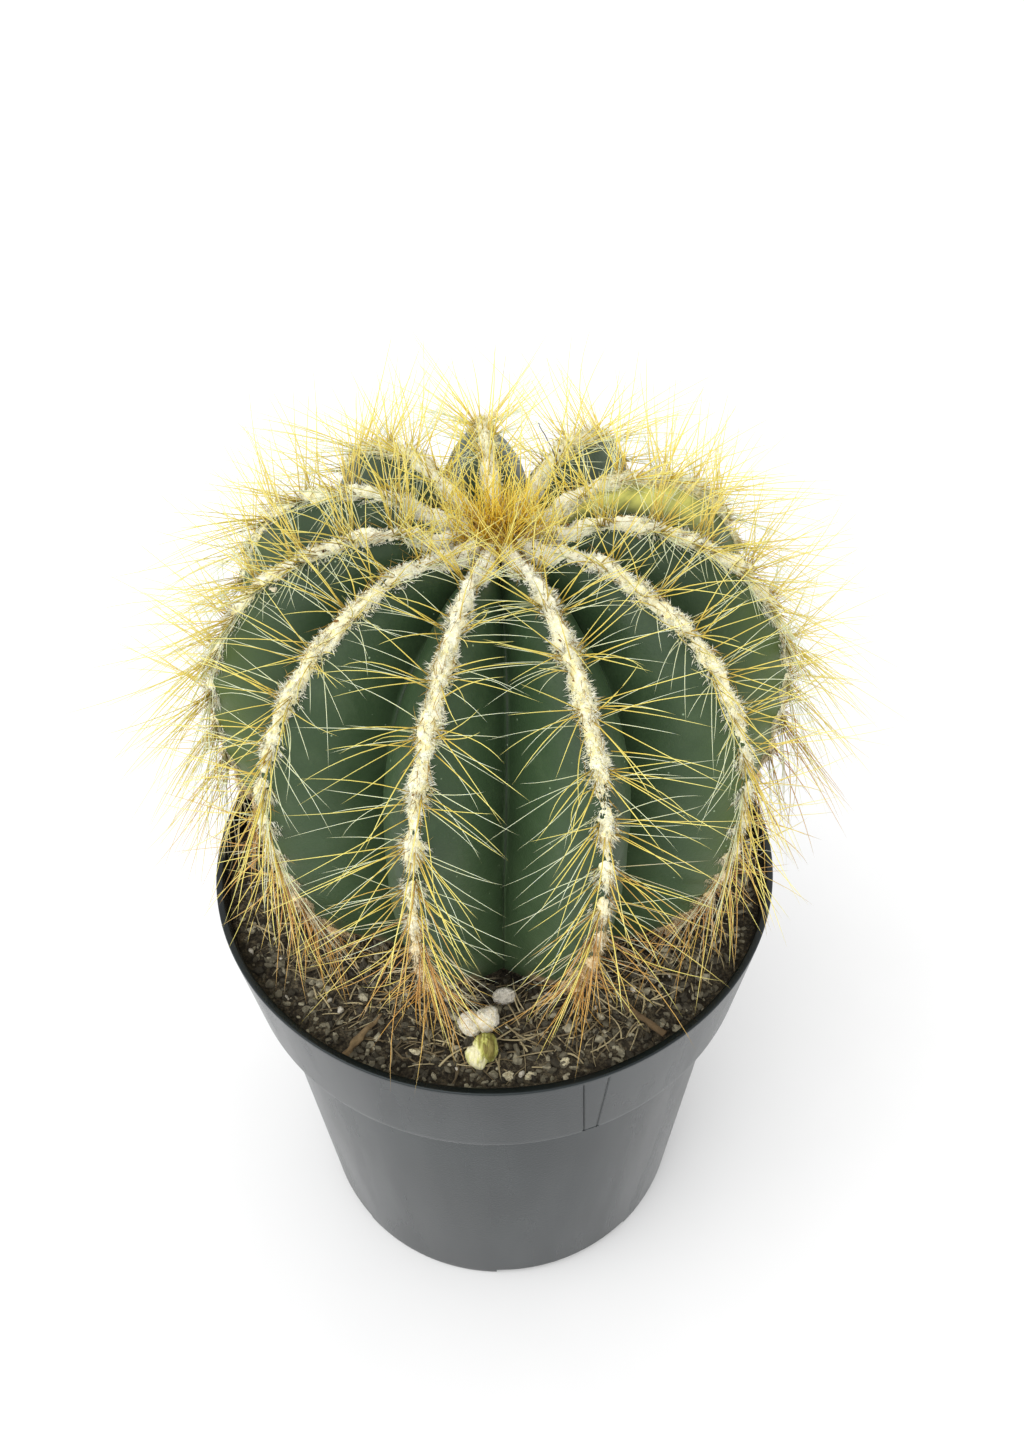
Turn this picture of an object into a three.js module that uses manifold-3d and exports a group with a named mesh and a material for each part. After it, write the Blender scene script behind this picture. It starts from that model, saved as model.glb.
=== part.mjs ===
// A round cactus with eleven ribs, growing in a round nursery pot.
// Millimetres, +Z up. The origin is the middle of the circle that the pot's feet stand on,
// and an azimuth is counted from the front (-Y) towards +X.

import * as THREE from 'three';
import { mergeVertices } from 'three/addons/utils/BufferGeometryUtils.js';
import Module from 'manifold-3d';

const wasm = await Module();
wasm.setup();

// ---- driving dimensions ----

const gap = 0.3; // clear space between neighbouring pieces
const past = 1; // how far a cutting solid reaches past what it removes

const pot = {
  height: 99,
  rimRadius: 52.5,
  rimWidth: 1.4,
  collarHeight: 23.3,
  collarFootRadius: 49.5,
  shoulderRadius: 46.6,
  shoulderRound: 0.8,
  baseRadius: 40.4,
  wall: 1.3,
  floorThickness: 1.5,
  footHeight: 2,
  footWidth: 3.2,
  footCount: 4,
  firstFootAzimuth: -24,
  drainRadius: 4,
  drainRingRadius: 23,
  drainCount: 5,
  drainSides: 20,
  sides: 60,
};

// The outline of the tongue for a plant tag, scored into the collar.
const tagScore = {
  top: 97.4,
  bottom: 76.9,
  azimuthsAtTop: [16.4, 21.3],
  azimuthsAtBottom: [18.3, 21.1],
  width: 0.5,
  depth: 0.4,
};

const soil = {
  belowRim: 4.8,
  relief: 0.6,
  levelEdge: 3, // width of the level band along the pot's wall
  sides: 40,
  rings: 4,
  socketClearance: 0.4,
};

// The plant stands a little off the pot's axis. Both lines run from the crown to the root, as
// [radius, height above the soil]: one along a rib's crest, one along the groove beside it.
const plant = {
  offset: [1.6, -0.3],
  crestLine: [
    [0, 77.3], [8, 78.1], [17.8, 81.1], [26.8, 79.4], [35.6, 74.9], [41.9, 67.4], [45.8, 57.4],
    [46.6, 45.2], [45.2, 32.8], [41.5, 20.3], [35.6, 8.8], [27.5, -0.7], [19, -9], [0, -12],
  ],
  grooveLine: [
    [0, 77.3], [7.2, 74.8], [14.4, 74.3], [20.5, 71.4], [26.3, 67.2], [29.5, 60.9], [30.5, 53.3],
    [29.4, 45.2], [29.4, 37.1], [29.1, 27.8], [28.1, 15.9], [25.3, 3], [18.5, -7], [0, -12],
  ],
  widestHeight: 45.2,
  ribAzimuths: [-175, -142, -110, -79, -48, -15, 19, 52, 84, 117, 151],
  ribLeans: [0, -2, -2, -4, -4, -3, -1, 0, 0, 0, 2], // degrees that a crest turns below leanStart
  leanStart: 0.435,
  flankBulge: 0.14,
  bulgeNearCrest: 0.25,
  stepsPerRib: 6,
  levels: 20,
};

const areoles = { count: 12, first: 0.095, last: 0.79, closerAtCrown: 1.25 };

// Sizes in pairs are those of the uppermost areole and of the lowest.
const wool = { width: [2.3, 1.3], height: [1.9, 1.3], between: 0.6, widestAcross: 0.42, overhang: 0.02 };

// A spine's way is its share straight out of the crest, across the rib and down the rib.
const spine = {
  radius: 0.4,
  sides: 3,
  seat: 0.6,
  lengths: [12, 17, 13],
  sideWay: [0.75, 0.75, 0.15],
  middleWay: [1, 0, 0.45],
  lane: 0.8, // share of the space between two ribs that a rib's spines keep to
  reach: 61.5,
  overSoil: 2.5,
  overRim: 3,
  insideRim: 8,
};

const tuft = {
  radius: 5,
  height: 2.4,
  lift: 0.7,
  spineCount: 20,
  spineLength: 15,
  spread: 0.4,
  seatSpread: 0.75,
};

const granuleLift = 0.35; // how far a lump's middle stands over the soil, as a share of its radius
const twig = { radius: 0.7, taper: 0.6, sides: 6 };

const colours = {
  pot: 0x3a3f41,
  soil: 0x3b2d22,
  skin: 0x34523a,
  wool: 0xe9d38a,
  tuft: 0xc9a433,
  perlite: 0xe9e4d6,
  chip: 0xb9bd78,
  twig: 0x8a6f4a,
};

// ---- solids ----

function toSolid(geometry) {
  const bare = geometry.clone();
  bare.deleteAttribute('normal');
  bare.deleteAttribute('uv');
  const merged = mergeVertices(bare, 1e-4);
  const mesh = new wasm.Mesh({
    numProp: 3,
    vertProperties: new Float32Array(merged.attributes.position.array),
    triVerts: new Uint32Array(merged.index.array),
  });
  return new wasm.Manifold(mesh);
}

function toMesh(solid, name, color, roughness) {
  const { vertProperties, triVerts } = solid.getMesh();
  const geometry = new THREE.BufferGeometry();
  geometry.setAttribute('position', new THREE.BufferAttribute(vertProperties, 3));
  geometry.setIndex(new THREE.BufferAttribute(triVerts, 1));
  geometry.computeVertexNormals();
  const material = new THREE.MeshStandardMaterial({ color, roughness, metalness: 0 });
  const mesh = new THREE.Mesh(geometry, material);
  mesh.name = name;
  return mesh;
}

// Moves every vertex of a geometry to where place(vertex, index) says.
function reshape(geometry, place) {
  const { position } = geometry.attributes;
  for (let i = 0; i < position.count; i++) {
    const moved = place(new THREE.Vector3().fromBufferAttribute(position, i), i);
    position.setXYZ(i, moved.x, moved.y, moved.z);
  }
  return geometry;
}

function latheUp(outline, sides) {
  const points = outline.map(([r, z]) => new THREE.Vector2(r, z));
  return new THREE.LatheGeometry(points, sides).rotateX(Math.PI / 2);
}

const radians = (degrees) => THREE.MathUtils.degToRad(degrees);

function around(azimuth, radius, z = 0) {
  return new THREE.Vector3(radius * Math.sin(azimuth), -radius * Math.cos(azimuth), z);
}

// ---- pot ----

const collarBottom = pot.height - pot.collarHeight;
const ledgeTop = collarBottom + pot.wall;
const floorTop = pot.footHeight + pot.floorThickness;
const soilTop = pot.height - soil.belowRim;

const outerWallAt = (z) => THREE.MathUtils.mapLinear(
  z, 0, collarBottom, pot.baseRadius, pot.shoulderRadius);
const collarAt = (z) => THREE.MathUtils.mapLinear(
  z, collarBottom, pot.height, pot.collarFootRadius, pot.rimRadius);

function potOutline() {
  const { footWidth, footHeight, baseRadius, shoulderRound, wall, height, rimWidth } = pot;
  return [
    [0, footHeight],
    [baseRadius - footWidth, footHeight],
    [baseRadius - footWidth, 0],
    [baseRadius, 0],
    [outerWallAt(collarBottom - shoulderRound), collarBottom - shoulderRound],
    [outerWallAt(collarBottom) + shoulderRound, collarBottom],
    [collarAt(collarBottom) - shoulderRound, collarBottom],
    [collarAt(collarBottom + shoulderRound), collarBottom + shoulderRound],
    [pot.rimRadius, height - shoulderRound / 2],
    [pot.rimRadius - shoulderRound / 2, height],
    [pot.rimRadius - rimWidth, height],
    [collarAt(ledgeTop) - wall, ledgeTop],
    [outerWallAt(ledgeTop) - wall, ledgeTop],
    [outerWallAt(floorTop) - wall, floorTop],
    [0, floorTop],
  ];
}

// Removes the foot ring between two feet, so that water can run out sideways.
function footGap(index) {
  const share = (2 * Math.PI) / pot.footCount;
  const shape = new THREE.Shape();
  shape.absarc(0, 0, pot.baseRadius + past, 0, share / 2);
  shape.absarc(0, 0, pot.baseRadius - pot.footWidth - past, share / 2, 0, true);
  const depth = pot.footHeight + past;
  const sector = new THREE.ExtrudeGeometry(shape, { depth, bevelEnabled: false, curveSegments: 8 });
  const middle = radians(pot.firstFootAzimuth) + share * (index + 0.5);
  sector.rotateZ(middle - Math.PI / 2 - share / 4);
  return toSolid(sector.translate(0, 0, -past));
}

function drainHole(index) {
  const { drainRadius, drainRingRadius, drainCount, drainSides } = pot;
  const hole = new THREE.CylinderGeometry(drainRadius, drainRadius, floorTop + 2 * past, drainSides);
  const azimuth = ((index + 0.5) * 2 * Math.PI) / drainCount;
  const centre = around(azimuth, drainRingRadius, floorTop / 2);
  return toSolid(hole.rotateX(Math.PI / 2).translate(...centre));
}

// One scored line of the tag tongue, between two [azimuth, height] ends on the collar.
function scoreLine([azimuthA, zA], [azimuthB, zB]) {
  const a = around(radians(azimuthA), collarAt(zA), zA);
  const b = around(radians(azimuthB), collarAt(zB), zB);
  const { width, depth } = tagScore;
  const line = new THREE.BoxGeometry(depth * 2, width, a.distanceTo(b) + width);
  const along = new THREE.Vector3().subVectors(b, a).normalize();
  const outward = around(radians((azimuthA + azimuthB) / 2), 1);
  const side = new THREE.Vector3().crossVectors(along, outward).normalize();
  outward.crossVectors(side, along);
  line.applyMatrix4(new THREE.Matrix4().makeBasis(outward, side, along));
  return toSolid(line.translate(...a.add(b).multiplyScalar(0.5)));
}

function makePot() {
  const { top, bottom } = tagScore;
  const [leftTop, rightTop] = tagScore.azimuthsAtTop;
  const [leftFoot, rightFoot] = tagScore.azimuthsAtBottom;
  let solid = toSolid(latheUp(potOutline(), pot.sides));
  for (let i = 0; i < pot.footCount; i++) solid = solid.subtract(footGap(i));
  for (let i = 0; i < pot.drainCount; i++) solid = solid.subtract(drainHole(i));
  solid = solid.subtract(scoreLine([leftTop, top], [leftFoot, bottom]));
  solid = solid.subtract(scoreLine([rightTop, top], [rightFoot, bottom]));
  solid = solid.subtract(scoreLine([leftFoot, bottom], [rightFoot, bottom]));
  return toMesh(solid, 'nursery_pot', colours.pot, 0.45);
}

// ---- plant skin ----

const crestCurve = new THREE.SplineCurve(plant.crestLine.map(([r, z]) => new THREE.Vector2(r, z)));
const grooveCurve = new THREE.SplineCurve(plant.grooveLine.map(([r, z]) => new THREE.Vector2(r, z)));
const ribCount = plant.ribAzimuths.length;

// A rib's azimuth at a place u along its crest (0 at the crown, 1 at the root).
function ribAzimuth(rib, u) {
  const turns = Math.floor(rib / ribCount);
  const index = rib - turns * ribCount;
  const lean = plant.ribLeans[index] * (u / plant.leanStart - 1);
  return radians(plant.ribAzimuths[index] + lean + 360 * turns);
}

// A point of the skin. across runs from -1 in the groove on one side, over the crest at 0, to 1.
function skinPoint(rib, u, across, grow = 0) {
  const crest = crestCurve.getPoint(u);
  const groove = grooveCurve.getPoint(u);
  const side = across < 0 ? -1 : 1;
  const s = Math.abs(across);
  const crestAzimuth = ribAzimuth(rib, u);
  const grooveAzimuth = (crestAzimuth + ribAzimuth(rib + side, u)) / 2;
  const from = around(crestAzimuth, crest.x + grow, crest.y);
  const to = around(grooveAzimuth, groove.x + grow, groove.y);
  const flank = to.clone().sub(from);
  const middleAzimuth = (crestAzimuth + grooveAzimuth) / 2;
  const outward = around(middleAzimuth, crest.x, crest.y - plant.widestHeight);
  const alongFlank = flank.clone().normalize();
  outward.addScaledVector(alongFlank, -outward.dot(alongFlank)).normalize();
  const swell = 4 * s * (1 - s) * (1 - plant.bulgeNearCrest * (2 * s - 1));
  const point = from.addScaledVector(flank, s);
  point.addScaledVector(outward, plant.flankBulge * swell * flank.length());
  point.x += plant.offset[0];
  point.y += plant.offset[1];
  point.z += soilTop;
  return point;
}

function skinSolid(grow = 0) {
  const columns = ribCount * plant.stepsPerRib;
  const ball = new THREE.SphereGeometry(1, columns, plant.levels);
  reshape(ball, (_, i) => {
    const column = i % (columns + 1);
    const u = Math.floor(i / (columns + 1)) / plant.levels;
    const rib = Math.round(column / plant.stepsPerRib);
    const across = (column / plant.stepsPerRib - rib) * 2;
    return skinPoint(rib, u, across, u > 0 && u < 1 ? grow : 0);
  });
  return toSolid(ball);
}

// ---- wool and spines along a crest ----

// The place u of an areole, or of a point between two areoles, along its crest.
const areoleAt = (i) => THREE.MathUtils.lerp(
  areoles.first, areoles.last, (i / (areoles.count - 1)) ** areoles.closerAtCrown);

// The crest's outward normal, the way down the rib and the way across it.
function crestFrame(rib, u) {
  const step = 0.004;
  const aside = 0.1;
  const point = skinPoint(rib, u, 0);
  const down = skinPoint(rib, u + step, 0).sub(skinPoint(rib, u - step, 0)).normalize();
  const across = skinPoint(rib, u, aside).sub(skinPoint(rib, u, -aside)).normalize();
  const out = new THREE.Vector3().crossVectors(down, across).normalize();
  return { point, down, across, out };
}

// The place u of a station, where whole stations are areoles and the strip's ends hang over.
function stationPlace(station) {
  const last = areoles.count - 1;
  const beyond = Math.min(station, 0) + Math.max(station - last, 0);
  return areoleAt(THREE.MathUtils.clamp(station, 0, last)) + wool.overhang * beyond;
}

// A felted strip that sits on the crest, thick at each areole and thin between two of them.
function woolStrip(rib) {
  const stations = 2 * areoles.count;
  const strip = new THREE.CylinderGeometry(1, 1, stations, 6, stations);
  return toSolid(reshape(strip, (vertex) => {
    const station = (stations / 2 - vertex.y) / 2 - 0.5;
    const u = stationPlace(station);
    const down = u / areoles.last;
    const thin = Number.isInteger(station) ? 1 : wool.between;
    const frame = crestFrame(rib, u);
    const flankLength = skinPoint(rib, u, 1).distanceTo(frame.point);
    const halfWidth = THREE.MathUtils.lerp(...wool.width, down) * thin;
    const reach = Math.min(halfWidth / flankLength, wool.widestAcross);
    const height = THREE.MathUtils.lerp(...wool.height, down) * thin;
    const point = skinPoint(rib, u, vertex.x * reach);
    return point.addScaledVector(frame.out, gap + height * Math.max(vertex.z, 0));
  }));
}

// A straight tapered spine from a seat towards a tip.
function spineSolid(seat, tip) {
  const length = seat.distanceTo(tip);
  const cone = new THREE.ConeGeometry(spine.radius, length, spine.sides).translate(0, length / 2, 0);
  const turn = new THREE.Quaternion().setFromUnitVectors(
    new THREE.Vector3(0, 1, 0), tip.clone().sub(seat).normalize());
  return toSolid(cone.applyQuaternion(turn).translate(...seat));
}

// Keeps a tip over its own rib, above the soil and inside the rim where it hangs below it.
function keepClear(tip, rib, u) {
  const [x0, y0] = plant.offset;
  const radius = Math.hypot(tip.x - x0, tip.y - y0);
  const azimuth = Math.atan2(tip.x - x0, y0 - tip.y);
  const own = ribAzimuth(rib, u);
  const off = THREE.MathUtils.euclideanModulo(azimuth - own + Math.PI, 2 * Math.PI) - Math.PI;
  const halfLane = (spine.lane * Math.PI) / ribCount;
  const kept = own + THREE.MathUtils.clamp(off, -halfLane, halfLane);
  const hangsLow = tip.z < pot.height + spine.overRim;
  const reach = hangsLow ? pot.rimRadius - spine.insideRim : spine.reach;
  const clear = around(kept, radius).add(new THREE.Vector3(x0, y0, 0)).clampLength(0, reach);
  return clear.setZ(Math.max(tip.z, soilTop + spine.overSoil));
}

// The length of a spine, for a share down from the crown's end of the row to its foot.
function spineLength(down) {
  const [atCrown, atMiddle, atFoot] = spine.lengths;
  return down < 0.5
    ? THREE.MathUtils.lerp(atCrown, atMiddle, down * 2)
    : THREE.MathUtils.lerp(atMiddle, atFoot, down * 2 - 1);
}

function spineRow(rib) {
  let solid = woolStrip(rib);
  for (let i = 0; i < areoles.count; i++) {
    const u = areoleAt(i);
    const length = spineLength(i / (areoles.count - 1));
    const frame = crestFrame(rib, u);
    const seat = frame.point.clone().addScaledVector(frame.out, gap + spine.seat);
    for (const side of i % 2 ? [-1, 0, 1] : [-1, 1]) {
      const [out, across, down] = side ? spine.sideWay : spine.middleWay;
      const way = frame.out.clone().multiplyScalar(out);
      way.addScaledVector(frame.across, side * across);
      way.addScaledVector(frame.down, down);
      const tip = seat.clone().addScaledVector(way.normalize(), length);
      solid = solid.add(spineSolid(seat, keepClear(tip, rib, u)));
    }
  }
  const name = `spine_row_${String(rib + 1).padStart(2, '0')}`;
  return toMesh(solid, name, colours.wool, 0.9);
}

function makeTuft() {
  const base = skinPoint(0, 0, 0).z + tuft.lift;
  const { radius, height } = tuft;
  const capOutline = [[0, 0], [radius, 0], [radius * 0.85, height * 0.6], [0, height]];
  const [x0, y0] = plant.offset;
  let solid = toSolid(latheUp(capOutline, 16).translate(x0, y0, base));
  const goldenAngle = Math.PI * (3 - Math.sqrt(5));
  for (let i = 0; i < tuft.spineCount; i++) {
    const out = Math.sqrt((i + 0.5) / tuft.spineCount);
    const foot = around(i * goldenAngle, out * radius * tuft.seatSpread);
    const seat = new THREE.Vector3(x0, y0, base + spine.seat).add(foot);
    const way = around(i * goldenAngle, out * tuft.spread, 1).normalize();
    solid = solid.add(spineSolid(seat, seat.clone().addScaledVector(way, tuft.spineLength)));
  }
  return toMesh(solid, 'crown_tuft', colours.tuft, 0.8);
}

// ---- soil and what lies on it ----

function soilHeight(x, y) {
  return soilTop + soil.relief * Math.sin(0.21 * x + 1) * Math.cos(0.19 * y + 0.5);
}

// A granule is one or more joined lumps, each [x, y, radius, flatness], partly sunk in the soil.
function granule(lumps, grow = 0) {
  let solid = null;
  for (const [x, y, radius, flatness] of lumps) {
    const lump = new THREE.IcosahedronGeometry(radius + grow, 1).scale(1, 1, flatness);
    lump.translate(x, y, soilHeight(x, y) + radius * flatness * granuleLift);
    solid = solid ? solid.add(toSolid(lump)) : toSolid(lump);
  }
  return solid;
}

const granules = [
  ['perlite_twin', colours.perlite, [[-4.3, -36.2, 2.6, 0.9], [-0.6, -35.8, 2.7, 0.9]]],
  ['perlite_grey', colours.perlite, [[2.4, -31, 2.2, 0.8]]],
  ['pale_chip', colours.chip, [[-2.9, -43, 2.5, 0.8], [-0.6, -42.3, 2.7, 0.75]]],
  ['perlite_front_1', colours.perlite, [[2.4, -46, 1.5, 0.8]]],
  ['perlite_front_2', colours.perlite, [[6, -46.2, 1.3, 0.8]]],
  ['perlite_front_3', colours.perlite, [[11.8, -43.8, 1.4, 0.8]]],
  ['perlite_left', colours.perlite, [[-13.5, -41.4, 1.5, 0.8]]],
  ['perlite_side', colours.perlite, [[-43.5, 6, 1.8, 0.8]]],
  ['perlite_back', colours.perlite, [[14, 42, 2, 0.8]]],
  ['perlite_right', colours.perlite, [[42.5, 14, 1.7, 0.8]]],
];

function makeGranule([name, color, lumps]) {
  return toMesh(granule(lumps), name, color, 0.95);
}

// Fibres of bark lying on the soil: [x, y, length, azimuth].
const twigs = [
  ['bark_fibre_1', [-23, -38.5, 10, -28]],
  ['bark_fibre_2', [25, -35.5, 11, 50]],
  ['bark_fibre_3', [-29, 30, 12, 35]],
  ['bark_fibre_4', [36, 22, 10, -20]],
];

function makeTwig([name, [x, y, length, azimuth]]) {
  const rod = new THREE.CylinderGeometry(twig.radius, twig.radius * twig.taper, length, twig.sides);
  rod.rotateZ(radians(azimuth)).translate(x, y, soilTop + soil.relief + twig.radius + gap / 2);
  return toMesh(toSolid(rod), name, colours.twig, 0.9);
}

const collarInsideAt = (z) => THREE.MathUtils.mapLinear(
  z, ledgeTop, pot.height, collarAt(ledgeTop) - pot.wall, pot.rimRadius - pot.rimWidth);
const soilRadius = collarInsideAt(soilTop) - gap;

function soilOutline() {
  const bottom = floorTop + gap;
  const wallAt = (z) => outerWallAt(z) - pot.wall - gap;
  const outline = [
    [0, bottom],
    [wallAt(bottom), bottom],
    [wallAt(ledgeTop), ledgeTop + gap],
    [collarInsideAt(ledgeTop) - gap, ledgeTop + gap],
    [soilRadius, soilTop],
  ];
  for (let i = soil.rings; i >= 0; i--) {
    outline.push([((soilRadius - soil.levelEdge) * i) / soil.rings, soilTop]);
  }
  return outline;
}

function makeSoil() {
  const bed = reshape(latheUp(soilOutline(), soil.sides), (vertex) => {
    const onRelief = Math.hypot(vertex.x, vertex.y) < soilRadius - soil.levelEdge / 2;
    if (vertex.z === soilTop && onRelief) vertex.z = soilHeight(vertex.x, vertex.y);
    return vertex;
  });
  let solid = toSolid(bed).subtract(skinSolid(soil.socketClearance));
  for (const [, , lumps] of granules) solid = solid.subtract(granule(lumps, gap));
  return toMesh(solid, 'potting_soil', colours.soil, 1);
}

// ---- the whole ----

const cactus = new THREE.Group();
cactus.add(makePot());
cactus.add(makeSoil());
cactus.add(toMesh(skinSolid(), 'cactus_body', colours.skin, 0.55));
for (let rib = 0; rib < ribCount; rib++) cactus.add(spineRow(rib));
cactus.add(makeTuft());
granules.forEach((entry) => cactus.add(makeGranule(entry)));
twigs.forEach((entry) => cactus.add(makeTwig(entry)));

export default cactus;
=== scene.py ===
# A round cactus with eleven ribs and golden spines, growing in a dark nursery pot.
# Lengths are in millimetres until a mesh is made. An azimuth counts from the front (-Y) towards +X.

import math

import bmesh
import bpy
import numpy as np
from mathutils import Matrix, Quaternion, Vector


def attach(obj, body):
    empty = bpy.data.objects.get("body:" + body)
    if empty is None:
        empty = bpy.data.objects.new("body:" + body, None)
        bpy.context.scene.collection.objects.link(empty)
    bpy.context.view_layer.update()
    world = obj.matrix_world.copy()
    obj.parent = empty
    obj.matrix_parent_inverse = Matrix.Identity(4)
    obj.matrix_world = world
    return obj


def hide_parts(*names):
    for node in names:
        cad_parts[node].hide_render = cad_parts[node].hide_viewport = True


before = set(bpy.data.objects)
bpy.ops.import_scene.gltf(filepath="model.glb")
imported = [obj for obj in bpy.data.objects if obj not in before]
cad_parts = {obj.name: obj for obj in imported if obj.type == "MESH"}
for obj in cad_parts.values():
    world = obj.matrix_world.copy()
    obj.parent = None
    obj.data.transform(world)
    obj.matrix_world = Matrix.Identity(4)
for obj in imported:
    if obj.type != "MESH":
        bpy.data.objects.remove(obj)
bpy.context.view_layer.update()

mm = 0.001
fullTurn = 2 * math.pi


# small tools for shapes

def around(azimuth, radius, z=0.0):
    azimuth, radius, z = np.broadcast_arrays(azimuth, radius, z)
    return np.stack([radius * np.sin(azimuth), -radius * np.cos(azimuth), z], axis=-1)


def unit(vectors):
    return vectors / np.maximum(np.linalg.norm(vectors, axis=-1, keepdims=True), 1e-9)


def blendTo(a, b, share):
    return a + (b - a) * share


def ease(value, low, high):
    share = np.clip((value - low) / (high - low), 0, 1)
    return share * share * (3 - 2 * share)


# large odd numbers that shuffle the cells of the noise
cellMixers = (73856093, 19349663, 83492791)
seedMixer = 2654435761
lastMixer = 1274126177


def lumpiness(points, size, seed=0):
    # smooth noise between -1 and 1, with lumps about as wide as size
    a, b, c = cellMixers
    place = np.asarray(points, float) / size + 31.7 * seed
    cell = np.floor(place).astype(np.int64)
    part = place - cell
    part = part * part * (3 - 2 * part)
    total = 0
    for corner in range(8):
        step = np.array([corner & 1, corner >> 1 & 1, corner >> 2 & 1])
        x, y, z = np.moveaxis(cell + step, -1, 0)
        mixed = x * a ^ y * b ^ z * c ^ (seed + 1) * seedMixer
        mixed = (mixed ^ mixed >> 13) * lastMixer & 0x7FFFFFFF
        weight = np.prod(np.where(step, part, 1 - part), axis=-1)
        total = total + (mixed / 0x3FFFFFFF - 1) * weight
    return total


def layeredLumps(points, layers, seed, start=0):
    # smooth noise in several sizes at once; each layer is the height and the width of its lumps
    lumps = (height * lumpiness(points, size, seed + k) for k, (height, size) in enumerate(layers))
    return sum(lumps, start)


def wander(points, height, size, seeds):
    # moves points to and fro by smooth noise, with one seed for each direction
    return points + height * np.stack([lumpiness(points, size, seed) for seed in seeds], axis=-1)


def splineAt(knots, u):
    # a smooth line through evenly counted knots, for u from 0 to 1
    knots = np.asarray(knots, float)
    last = len(knots) - 1
    place = np.clip(u, 0, 1) * last
    start = np.minimum(place.astype(int), last)
    w = (place - start)[..., None]
    before, a, b, after = (knots[np.clip(start + k, 0, last)] for k in (-1, 0, 1, 2))
    leaving, arriving = (b - before) / 2, (after - a) / 2
    cubic = (2 * a - 2 * b + leaving + arriving) * w ** 3
    square = (3 * b - 3 * a - 2 * leaving - arriving) * w ** 2
    return cubic + square + leaving * w + a


# small tools for pieces

def addObject(name, data):
    body = bpy.data.objects.new(name, data)
    bpy.context.scene.collection.objects.link(body)
    return body


def makePiece(name, parts, materials, nodes=(), smooth=True):
    # each part has points, a list of face arrays, a material index and a map of two numbers per point
    starts = np.cumsum([0] + [len(part["points"]) for part in parts])
    corners, sizes, kinds = [], [], []
    for start, part in zip(starts, parts):
        for faces in part["faces"]:
            faces = np.asarray(faces)
            corners.append(faces.ravel() + start)
            sizes.append(np.full(len(faces), faces.shape[1]))
            kinds.append(np.full(len(faces), part.get("material", 0)))
    corners, sizes, kinds = np.concatenate(corners), np.concatenate(sizes), np.concatenate(kinds)
    points = np.concatenate([part["points"] for part in parts]) * mm
    mesh = bpy.data.meshes.new(name)
    mesh.vertices.add(len(points))
    mesh.vertices.foreach_set("co", points.astype(np.float32).ravel())
    mesh.loops.add(len(corners))
    mesh.loops.foreach_set("vertex_index", corners.astype(np.int32))
    mesh.polygons.add(len(sizes))
    mesh.polygons.foreach_set("loop_start", (np.cumsum(sizes) - sizes).astype(np.int32))
    mesh.polygons.foreach_set("material_index", kinds.astype(np.int32))
    mesh.polygons.foreach_set("use_smooth", np.full(len(sizes), smooth))
    if all("map" in part for part in parts):
        layer = mesh.uv_layers.new(name="partMap")
        spots = np.concatenate([part["map"] for part in parts])
        layer.data.foreach_set("uv", spots[corners].astype(np.float32).ravel())
    mesh.update(calc_edges=True)
    mesh.validate()
    for material in materials:
        mesh.materials.append(material)
    piece = addObject(name, mesh)
    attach(piece, "root")
    if nodes:
        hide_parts(*nodes)
    return piece


def paint(piece, name, values):
    # a number for each point, which the material reads by name
    layer = piece.data.attributes.new(name, "FLOAT", "POINT")
    layer.data.foreach_set("value", values.astype(np.float32))


def evenMap(points, value):
    return np.full((len(points), 2), value)


def gridFaces(rows, columns, wrap=False):
    # quads between rows of points, each row as long as columns
    acrossCount = columns if wrap else columns - 1
    row, column = np.meshgrid(np.arange(rows - 1), np.arange(acrossCount), indexing="ij")
    here, beside = row * columns + column, row * columns + (column + 1) % columns
    return np.stack([here, beside, beside + columns, here + columns], axis=-1).reshape(-1, 4)


def closedFaces(rows, columns, upwards=False):
    # a closed skin over rings of points; the two points after the rings close its ends
    j = np.arange(columns)
    beside, lastRing = (j + 1) % columns, (rows - 1) * columns
    start = np.stack([np.full(columns, rows * columns), j, beside], axis=-1)
    end = np.stack([np.full(columns, rows * columns + 1), lastRing + beside, lastRing + j], axis=-1)
    grid = gridFaces(rows, columns, wrap=True)
    if upwards:
        return [grid, start[:, [0, 2, 1]], end[:, [0, 2, 1]]]
    return [grid[:, ::-1], start, end]


def tubeFaces(rows, sides, flip=False):
    # a closed tube over rings of points, with one face over each end
    ring = np.arange(sides)[None]
    faces = [gridFaces(rows, sides, wrap=True), ring[:, ::-1], ring + (rows - 1) * sides]
    return [face[:, ::-1] for face in faces] if flip else faces


tipShare = 0.2  # the share of its root's thickness that a strand thins towards


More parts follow.
